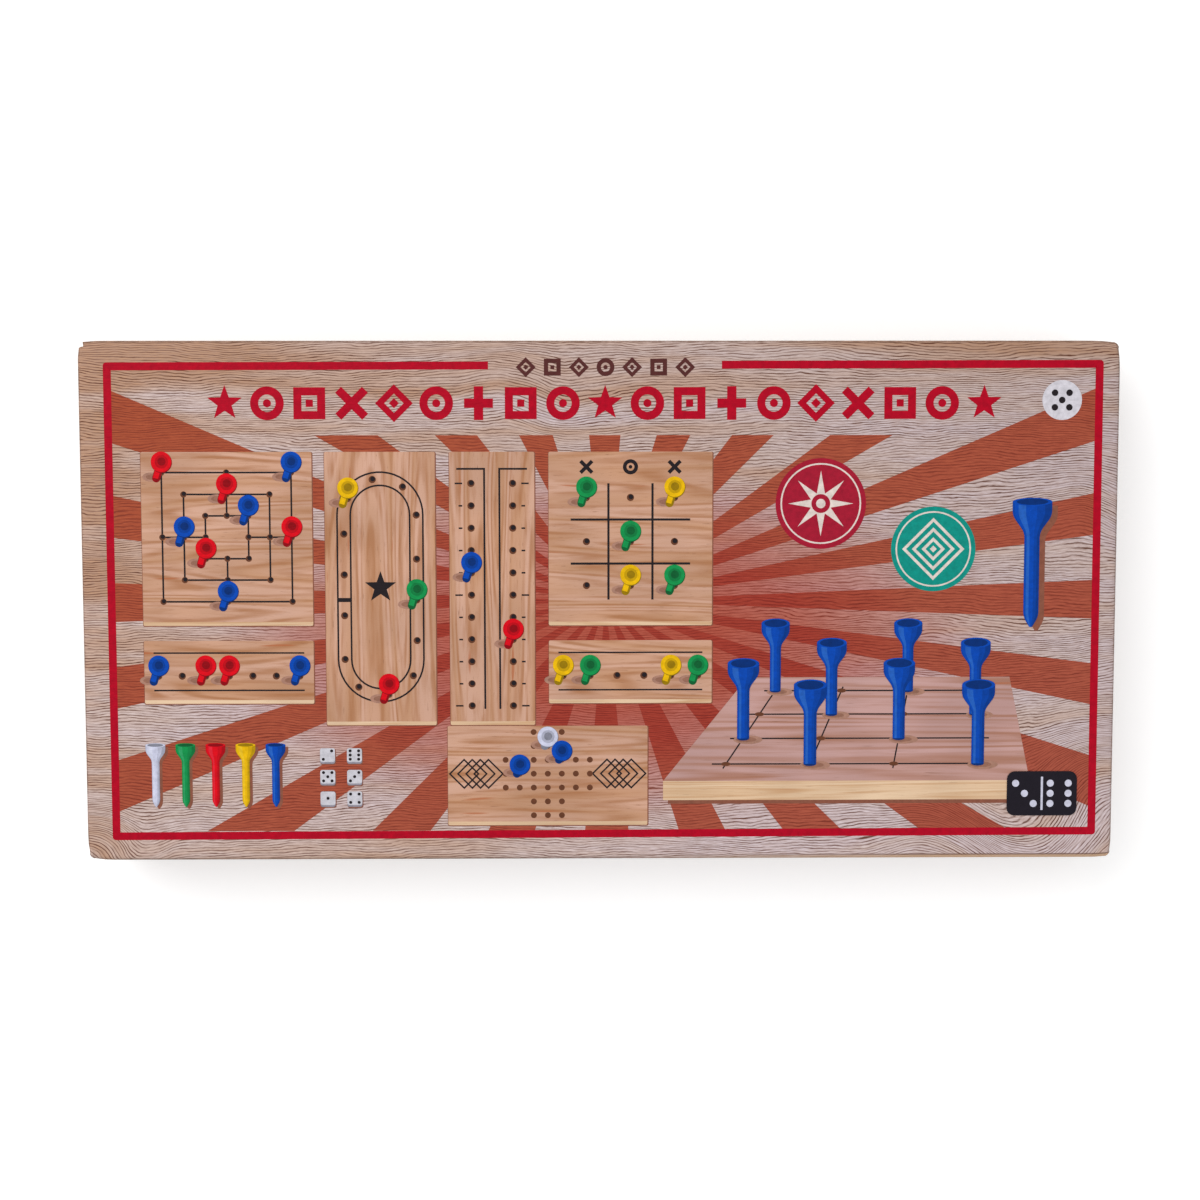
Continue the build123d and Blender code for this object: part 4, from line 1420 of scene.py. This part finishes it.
def around_oval(part, radius, straight):
    """The point at a share of the way round an oval, clockwise from the middle of its far end."""
    turn = math.pi * radius
    way = (part * 2 * (straight + turn) + turn / 2) % (2 * (straight + turn))
    half, rest = divmod(way, straight + turn)
    if rest < turn:
        angle = math.pi - rest / radius
        place = (radius * math.cos(angle), straight / 2 + radius * math.sin(angle))
    else:
        place = (radius, straight / 2 - (rest - turn))
    return place if half == 0 else (-place[0], -place[1])


# %% [markdown]
# Four long boards: the track with its star and numbers, the ladder that counts up twice, the row
# with lozenges beside its numbers, and the row on which men change sides.

# %% Ink of the long boards
BOTH = (-1, 1)                    # the left and the right side of a board
TRACK_STRAIGHT = 65
TEN_PLACES = [(4.5 - i) * 11.8 for i in range(10)]
track = [ribbon(oval(0, 0, r, TRACK_STRAIGHT, 40), 0.8, closed=True) for r in (21.6, 29.4)]
track += [spiked(0, 0, 8.5, 3.6, 5), ribbon(circle(0, 0, 12.5), 0.6, closed=True)]
track += [regular(0, 66.2, 2.6, 3, -90)]
track += [number(i + 1, *around_oval(i / 12, 17.2, TRACK_STRAIGHT), 5.2) for i in range(12)]
ink_on("track_board", track)

ladder = [number(i + 1, side * 19.4, up, 4.6) for i, up in enumerate(TEN_PLACES) for side in BOTH]
ladder += [ribbon([(side * 7.5, -64), (side * 7.5, 62), (side * 21.5, 62)], 0.8) for side in BOTH]
ladder += [spiked(0, 68.0, 3.4, 1.5, 5), ribbon([(-3.5, -64), (3.5, -64)], 0.8)]
ink_on("ladder_board", ladder)

number_row = [number(i + 1, 17.2, up, 4.8, -90) for i, up in enumerate(TEN_PLACES)]
number_row += [ribbon([(x, -66), (x, 66)], 0.7) for x in (2.0, -17.5)]
number_row += [ribbon(regular(-7.8, up, 6.4, 4), 0.8, closed=True) for up in range(-48, 49, 16)]
ink_on("number_row_board", number_row)

swap = [ribbon([(side * 7.0, -66), (side * 7.0, 66)], 0.8) for side in BOTH]
swap += [ribbon([(-7.0, up), (7.0, up)], 0.8) for up in (-66, 0, 66)]
swap += [regular(0, side * 71.0, 2.2, 3, side * 90) for side in BOTH]
ink_on("swap_row_board", swap)

# %% [markdown]
# Three boards are played along lines from hole to hole: an eight-pointed star, a grid of nine
# places and a triangle of fifteen. A line stops short of the holes that it joins.

# %% Ink of the star, the grid and the triangle
STAR_RADIUS, STAR_DOWN, STAR_HOLES = 29, 11, 8
TRIANGLE_PITCH, TRIANGLE_TOP = 22.0, 50.81
turns = [2 * math.pi / STAR_HOLES * i for i in range(STAR_HOLES)]
tips = [(STAR_RADIUS * math.sin(turn), STAR_RADIUS * math.cos(turn) - STAR_DOWN) for turn in turns]


def between(a, b, gap=3.6, width=0.8):
    """A straight line from near one hole to near another."""
    a, b = np.array(a), np.array(b)
    step = (b - a) / np.linalg.norm(b - a) * gap
    return ribbon([a + step, b - step], width)


star = [between(tips[i], tips[(i + 3) % STAR_HOLES]) for i in range(STAR_HOLES)]
star += [ribbon([(-40, up), (40, up)], 0.9) for up in (27, 42.5)]
star += [spiked(x, 34.8, 5.2, 2.2, 5) for x in range(-32, 33, 16)]
ink_on("star_board", star)

nine = [ribbon([(shift, -36), (shift, 36)], 1.0) for shift in (-12.75, 12.75)]
nine += [ribbon([(-39, shift), (39, shift)], 1.0) for shift in (-11.75, 11.75)]
ink_on("grid_board", nine)

rows_apart = TRIANGLE_PITCH * math.sqrt(3) / 2
spots = [((i - row / 2) * TRIANGLE_PITCH, TRIANGLE_TOP - row * rows_apart)
         for row in range(5) for i in range(row + 1)]
pairs = [(a, b) for a in spots for b in spots
         if a < b and abs(math.dist(a, b) - TRIANGLE_PITCH) < 0.1]
ink_on("triangle_board", [between(a, b, 4.0, 0.7) for a, b in pairs])

# %% [markdown]
# ## Pegs
# The pegs are moulded in polythene: a soft gloss, light that enters a little, a rounded rim and a
# hollow cup. A peg is a profile of radius against height, its corners rounded, carried once round
# its axis. A peg that lies down rests on its head and on the end of its point, so its axis is
# tilted by the angle between the two.

# %% A turned peg
def turned(profile, sides=36):
    """The surface of a profile (radius, height) carried round the upright axis, closed at both its
    ends."""
    turn = np.arange(sides) * 2 * math.pi / sides
    radius, height = profile[:, :1], profile[:, 1:]
    rings = np.stack([radius * np.cos(turn), radius * np.sin(turn), height + 0 * turn], -1)
    return grid(rings, around=True)


POINT, CUP, CUP_BOTTOM = 0.7, 4.6, 1.5               # radii
CUP_FLOOR = 30.5
CUP_SIDE = [(CUP, PEG_LENGTH), (CUP_BOTTOM, CUP_FLOOR), (0.02, CUP_FLOOR)]
PEG = rounded([(0.02, 0), (POINT, 0)] + PEG_BODY + CUP_SIDE, 0.7)
LIE = math.atan2(HEAD - SHAFT, SHOULDER - TAPER)     # the tilt of a lying peg
SPAN = PEG_LENGTH * math.cos(LIE) + (HEAD + POINT) * math.sin(LIE)
TIP = SHAFT * math.cos(LIE) - TAPER * math.sin(LIE)  # how high the tip of its axis then is
LAYER = 2 * HEAD / math.cos(LIE) + 0.2
CELLS_FROM, CELL = -77.4, 37.575                     # where the first cell begins, and its width
FIRST_PEG, PEG_PITCH, PEG_FLOOR = 115.3, 8.0, 1.7


def lying(cell, layer):
    """Six pegs side by side, each turned about X until it lies on its head and its taper, heads by
    turns."""
    middle = CELLS_FROM + (cell + 0.5) * CELL + cell * SHEET
    points, faces = turned(PEG)
    pegs = []
    for i in range(6):
        way = 1 if i % 2 == 0 else -1
        angle = -way * (math.pi / 2 - LIE)
        y = points[:, 1] * math.cos(angle) - points[:, 2] * math.sin(angle)
        z = points[:, 1] * math.sin(angle) + points[:, 2] * math.cos(angle)
        tip = (FIRST_PEG + PEG_PITCH * i, middle - way * (SPAN / 2 - POINT * math.sin(LIE)),
               PEG_FLOOR + TIP + layer * LAYER)
        pegs.append((np.stack([points[:, 0], y, z], -1) + tip, faces))
    return joined(pegs)


def moulded(name, colour, roughness, fine, fade, **inputs):
    """A moulded plastic: its colour drifts to a slightly darker one in clouds."""
    finish = Finish(name, roughness, **inputs)
    drift = finish.noise(finish.object_mm(), (fine,) * 3)
    finish.colour(finish.mix(drift, rgb(*colour), rgb(*toned(colour, fade))))
    return finish


def polythene(name, colour, glow):
    """The pegs' plastic, with a fine orange peel; glow is how far red, green and blue light
    enter."""
    under = {"Subsurface Weight": 0.12, "Subsurface Scale": 0.002, "Subsurface Radius": glow}
    finish = moulded(name, colour, 0.34, 0.35, 0.95, **under)
    return finish.relief(finish.noise(finish.object_mm(), (3.0,) * 3), 0.02, 0.3).material


POLYTHENE = {"red": ((206, 16, 26), (1.0, 0.3, 0.2)), "yellow": ((240, 190, 10), (1.0, 0.8, 0.3)),
             "green": ((16, 138, 66), (0.3, 1.0, 0.4)), "blue": ((10, 72, 176), (0.2, 0.4, 1.0)),
             "white": ((226, 226, 222), (1.0, 1.0, 1.0))}
for i, (name, (colour, glow)) in enumerate(POLYTHENE.items()):
    plastic = polythene(name + "_polythene", colour, glow)
    pegs = piece(name + "_turned_pegs", lying(i // 2, i % 2), [plastic], name + "_pegs",
                 sharp=50, merge=0.05)
    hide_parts(name + "_pegs")
print("pegs", len(PEG), "rings each")

# %% [markdown]
# ## Dice
# A die is a cube rounded by a ball, with shallow dished pips. Each face is a grid on the cube. A
# point keeps its place on the cube unless it lies outside the ball, and then moves in to the ball.
# Points that lie near a pip's rim are drawn on to it, so that the painted dish has a clean round
# edge.

# %% The dice
SIZE, BALL = 8.0, 6.0                                # the cube's edge and the ball's radius
PIP, PIP_DEPTH, PIP_REACH = 0.78, 0.42, 2.1          # radius, depth, and how far off the middle
SIDES = {1: (0, 0), 6: (180, 0), 2: (90, 0), 5: (-90, 0), 3: (0, 90), 4: (0, -90)}    # about X, Y


def tipped(points, x, y, z=0):
    """The points turned by so many degrees about Y, then about X, then about Z."""
    for a, b, degrees in ((2, 0, y), (1, 2, x), (0, 1, z)):
        c, s = math.cos(math.radians(degrees)), math.sin(math.radians(degrees))
        before, points = points, points.copy()
        points[:, a] = c * before[:, a] - s * before[:, b]
        points[:, b] = s * before[:, a] + c * before[:, b]
    return points


def die_side(count):
    """The upper face of the die with its pips: the patch, and which of its faces are painted. The
    grid's lines stand closer together towards the edges, where the ball rounds them."""
    even = np.linspace(-1, 1, 41)
    crowded = np.sin(even * math.pi / 2 * 0.82) / math.sin(math.pi / 2 * 0.82)
    run = (0.35 * crowded + 0.65 * even) * SIZE / 2
    x, y = np.meshgrid(run, run)
    sunk, painted = 0 * x, np.zeros(x.shape, bool)
    for across, up in FACES[count]:
        px, py = across * PIP_REACH, up * PIP_REACH
        far = np.maximum(np.hypot(x - px, y - py), 1e-9)
        near = np.abs(far - PIP) < 0.13
        x = np.where(near, px + (x - px) / far * PIP, x)
        y = np.where(near, py + (y - py) / far * PIP, y)
        far = np.hypot(x - px, y - py)
        painted |= far < PIP + 1e-3
        sunk = np.where(far < PIP, PIP_DEPTH * (1 - (far / PIP) ** 2), sunk)
    out = np.stack([x, y, np.full(x.shape, SIZE / 2)], -1)
    length = np.linalg.norm(out, axis=-1, keepdims=True)
    out = out / length * np.minimum(length, BALL)
    out[..., 2] -= sunk
    points, faces = grid(out)
    inner = painted.ravel()
    return (points, faces), [all(inner[i] for i in face) for face in faces]


def whole_die():
    """The six sides as one patch, and which of its faces are painted."""
    patches, marks = [], []
    for count, (x, y) in SIDES.items():
        (points, faces), painted = die_side(count)
        patches.append((tipped(points, x, y), faces))
        marks += painted
    return joined(patches), marks


under = {"Subsurface Weight": 0.1, "Subsurface Scale": 0.001}
BONE = moulded("dice_plastic", (232, 230, 224), 0.3, 0.5, 0.93, **under).material
PIP_PAINT = moulded("pip_paint", (26, 24, 26), 0.3, 0.5, 0.93, **under).material
(die_points, die_faces), die_marks = whole_die()
LYING = ((0, 0, 8), (90, 0, -14), (0, 90, 24), (0, -90, -31), (-90, 0, 12), (180, 0, -6))
DICE_X, DICE_Y, DICE_Z = 135.3, 58.61, 5.7           # the middle of the six
for i, turns in enumerate(LYING):
    row, column = divmod(i, 3)
    place = (DICE_X + 14.0 * (column - 1), DICE_Y + 13.0 * (row - 0.5), DICE_Z)
    patch = (tipped(die_points, *turns) + place, die_faces)
    die = piece(f"rounded_die_{i + 1}", patch, [BONE, PIP_PAINT], "dice", sharp=40)
    die.data.polygons.foreach_set("material_index", np.array(die_marks, np.int32))
    weld(die.data, 0.02)
    smooth(die.data, 40)
    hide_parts(f"die_{i + 1}")

# %% [markdown]
# ## Leaflet and partitions
# The rules leaflet is a sheet of paper folded once. It never lies quite flat: the free edges lift a
# little. It is a strip carried along a folded line, given thickness by Solidify. The diagrams on it
# are plain drawings of the boards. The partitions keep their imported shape; their upper edges show
# the flutes.

# %% The leaflet
LEAF_LEFT, LEAF_RIGHT, LEAF_NEAR, LEAF_FAR = -67.3, 72.7, -76.9, 18.1
LEAF_MIDDLE, LEAF_FOLD = 22.6, 0.28                  # the height of the fold, and its radius
ACROSS, ALONG = 44, 34                               # points from fold to edge, and along the fold


def leaflet_sheet():
    """Both leaves as one strip: along the lower leaf to the fold, round it, and back along the
    upper one."""
    start = LEAF_LEFT + LEAF_FOLD
    turn = np.linspace(-math.pi / 2, math.pi / 2, 7)[1:-1]
    bend = np.stack([start - LEAF_FOLD * np.cos(turn), LEAF_MIDDLE + LEAF_FOLD * np.sin(turn)], -1)
    low, high = LEAF_MIDDLE - LEAF_FOLD, LEAF_MIDDLE + LEAF_FOLD
    lower = np.linspace((LEAF_RIGHT - 0.6, low), (start, low), ACROSS)
    upper = np.linspace((start, high), (LEAF_RIGHT, high), ACROSS)
    path = np.vstack([lower, bend, upper])
    y = np.linspace(LEAF_NEAR, LEAF_FAR, ALONG)
    x, z = path[:, :1] + 0 * y, path[:, 1:] + 0 * y
    free = np.clip((x - LEAF_LEFT) / (LEAF_RIGHT - LEAF_LEFT), 0, 1)
    on_top = (np.arange(len(path)) >= ACROSS + len(turn))[:, None]
    wave = 0.5 + 0.5 * ripple(x * 0.8, y * 0.8 + 0 * x, 41)
    corner = free ** 3 * (0.35 + 1.25 * np.clip((y - LEAF_FAR + 60) / 60, 0, 1) ** 2)
    z = z + np.where(on_top, corner * 0.9 + 0.12 * free * wave, 0)
    return np.stack([x, y + 0 * x, z], -1)


def paper(name):
    """Uncoated paper with short fibres."""
    finish = Finish(name, roughness=0.78, gloss=0.3)
    fibre = finish.noise(finish.object_mm(), (1.2,) * 3, detail=4.0, roughness=0.7)
    finish.colour(finish.mix(fibre, rgb(226, 224, 216), rgb(212, 209, 200)))
    return finish.relief(fibre, 0.03, 0.4).material


sheet = leaflet_sheet()
leaf_paper = paper("leaflet_paper")
leaflet = piece("folded_leaflet", grid(sheet), [leaf_paper], "rules_leaflet",
                sharp=80)
thick = leaflet.modifiers.new("paper", "SOLIDIFY")
thick.thickness, thick.offset = 0.16 * MM, 0.0
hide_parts("rules_leaflet")


def leaflet_height(x, y):
    """Height of the upper leaf at a place, weighed from the four points of its grid round that
    place."""
    z = sheet[-ACROSS:, :, 2]
    i = (x - LEAF_LEFT) / (LEAF_RIGHT - LEAF_LEFT) * (ACROSS - 1)
    j = (y - LEAF_NEAR) / (LEAF_FAR - LEAF_NEAR) * (ALONG - 1)
    i0, j0 = np.clip(i.astype(int), 0, ACROSS - 2), np.clip(j.astype(int), 0, ALONG - 2)
    fi, fj = i - i0, j - j0
    return ((1 - fi) * (1 - fj) * z[i0, j0] + fi * (1 - fj) * z[i0 + 1, j0]
            + (1 - fi) * fj * z[i0, j0 + 1] + fi * fj * z[i0 + 1, j0 + 1])


# %% [markdown]
# Eight numbered frames in two rows hold the diagrams: dots on a grid, nested squares, a ring of
# dots and an oval above; a row of dots, a grid, an oval and a noughts and crosses grid below.

# %% Diagrams on the leaflet
COLUMNS, UPPER, LOWER = (-47.0, -14.0, 19.0, 52.0), -2.0, -46.0      # the middles of the frames
diagrams = []
for i, x in enumerate(COLUMNS):
    diagrams += [ribbon(regular(x, up, 15.5, 4, 45), 0.5, closed=True) for up in (UPPER, LOWER)]
    diagrams += [ribbon([(x - 13.5, -21.5), (x + 13.5, -21.5)], 0.4)]
    diagrams += [number(i + 1, x, 13.2, 4.4), number(i + 4, x, -29.0, 4.4)]
for a in (-8.0, 0.0, 8.0):
    for b in (-8.0, 0.0, 8.0):
        diagrams += [circle(COLUMNS[0] + a, UPPER + b * 0.9, 0.9, 16)]
        diagrams += [circle(COLUMNS[1] + b, LOWER + a, 0.9, 16)]
diagrams += [ribbon(square(COLUMNS[1], UPPER, half), 0.35, closed=True) for half in (3.2, 6.0, 8.8)]
diagrams += [circle(x, y, 0.9, 16) for x, y in circle(COLUMNS[2], UPPER, 8.0, 8)]
diagrams += [circle(COLUMNS[0] + (i - 3.5) * 2.7, LOWER, 0.8, 14) for i in range(8)]
diagrams += [ribbon(oval(COLUMNS[3], UPPER, 5.5, 7.0), 0.4, closed=True)]
diagrams += [ribbon(oval(COLUMNS[2], LOWER, 6.5, 5.0), 0.4, closed=True)]
for shift in (-3, 3):
    x, y = COLUMNS[3] + shift, LOWER + shift
    diagrams += [ribbon([(x, LOWER - 8), (x, LOWER + 8)], 0.4)]
    diagrams += [ribbon([(COLUMNS[3] - 8, y), (COLUMNS[3] + 8, y)], 0.4)]
points, faces = joined(map(filled, diagrams))
height = leaflet_height(*points.T) + 0.12
patch = (np.column_stack([points, height]), faces)
piece("leaflet_diagrams", patch, [board_ink], "rules_leaflet", sharp=60)

# %% The partitions
LONG_AT, PARTITION_TOP = 108.45, 24.66               # the long one's place, and the upper edge


def partition_board(name, across_axis, pitch, centre):
    """Brown liner, and on the upper edge the flutes. The depth is measured from the plate's own
    middle; with a pitch, from the middle of the nearest of several plates."""
    finish = Finish(name, roughness=0.88, gloss=0.25)
    where = finish.object_mm()
    body, fibre = liner(finish, where, (198, 160, 117), (180, 141, 99))
    x, y, z = finish.axes(where)
    side, along = (x, y) if across_axis == "X" else (y, x)
    off = finish.sum("SUBTRACT", side, centre)
    if pitch:
        nearest = finish.sum("ROUND", finish.sum("DIVIDE", off, pitch))
        off = finish.sum("SUBTRACT", off, finish.times(nearest, pitch))
    _, edge = fluted(finish, finish.sum("DIVIDE", off, SHEET), along)
    top = finish.sum("GREATER_THAN", z, PARTITION_TOP)
    finish.colour(finish.mix(top, body, edge))
    return finish.relief(fibre, 0.05, 0.5).material


finish_node("long_partition", partition_board("partition_liner_long", "X", 0, LONG_AT))
cross_liner = partition_board("partition_liner_cross", "Y", CELL + SHEET, 0.0)
for i in (1, 2, 3):
    finish_node(f"cross_partition_{i}", cross_liner)


# %% [markdown]
# ## Stage, light and camera
# A plain floor and a pale surround. The floor takes the object's soft shadow. Where it is looked
# at, straight or in a reflection, a little light of its own brings it up to white, and more of it
# far from the lamps. One broad lamp stands at the upper left and a weak one opposite; with the
# world they add up to the level at which a colour looks as it is written.

# %% Floor, world, lamps and camera
def looked_at(nodes):
    """1 for rays from the camera and for those that a glossy or a clear thing sends on, 0 for the
    rest."""
    path = nodes.add("ShaderNodeLightPath", {}).node.outputs
    seen = path["Is Camera Ray"]
    for kind in ("Is Glossy Ray", "Is Transmission Ray"):
        seen = nodes.sum("MAXIMUM", seen, path[kind])
    return seen


def pale_floor():
    """A matt floor with a little light of its own for whoever looks at it, more of it further
    out."""
    finish = Finish("pale_floor", roughness=0.9).colour(rgb(236, 236, 236))
    far = finish.measure("LENGTH", finish.add("ShaderNodeTexCoord", {}, out="Object"))
    level = finish.times(looked_at(finish), finish.span(far, 0.5, 2.5, 0.30, 0.55))
    glow = finish.add("ShaderNodeEmission", {"Strength": level})
    both = finish.add("ShaderNodeAddShader", {0: finish.shader.outputs[0], 1: glow})
    finish.set(finish.tree.nodes["Material Output"], {"Surface": both})
    return finish.material


def pale_world():
    """Plain light from everywhere at two thirds, seen as white by the camera and in glossy
    things."""
    world = bpy.data.worlds.new("surround")
    world.use_nodes = True
    nodes = Nodes(world.node_tree)
    plain, white = nodes.tree.nodes["Background"], (1.0, 1.0, 1.0, 1.0)
    nodes.set(plain, {"Color": white, "Strength": 0.66})
    bright = nodes.add("ShaderNodeBackground", {"Color": white, "Strength": 1.0})
    choose = nodes.add("ShaderNodeMixShader", {0: looked_at(nodes), 1: plain.outputs[0], 2: bright})
    nodes.set(nodes.tree.nodes["World Output"], {"Surface": choose})
    bpy.context.scene.world = world


def lamp(name, place, size, power):
    """A square area lamp that faces the box."""
    data = bpy.data.lights.new(name, "AREA")
    data.shape, data.size, data.energy = "SQUARE", size, power
    item = bpy.data.objects.new(name, data)
    bpy.context.scene.collection.objects.link(item)
    item.location = place
    aim = -item.location.normalized()
    item.rotation_euler = aim.to_track_quat("-Z", "Y").to_euler()


far, low = 4000.0, -0.5
corners = np.array([(-far, -far, low), (far, -far, low), (far, far, low), (-far, far, low)])
floor = new_item("floor", (corners, [(0, 1, 2, 3)]), [pale_floor()])
pale_world()
lamp("key_lamp", (-0.75, 0.75, 1.15), 1.3, 14.0)
lamp("fill_lamp", (0.9, -0.7, 0.9), 1.2, 3.0)

camera_data = bpy.data.cameras.new("camera")
camera_data.lens, camera_data.sensor_width, camera_data.sensor_fit = 56.62, 36.0, "HORIZONTAL"
camera = bpy.data.objects.new("camera", camera_data)
bpy.context.scene.collection.objects.link(camera)
camera.location = (-0.00635, 0.04696, 0.632)
camera.rotation_euler = [math.radians(turn) for turn in (-4.3945, -0.5914, -0.0478)]
bpy.context.scene.camera = camera
bpy.context.scene.view_settings.view_transform = "Standard"
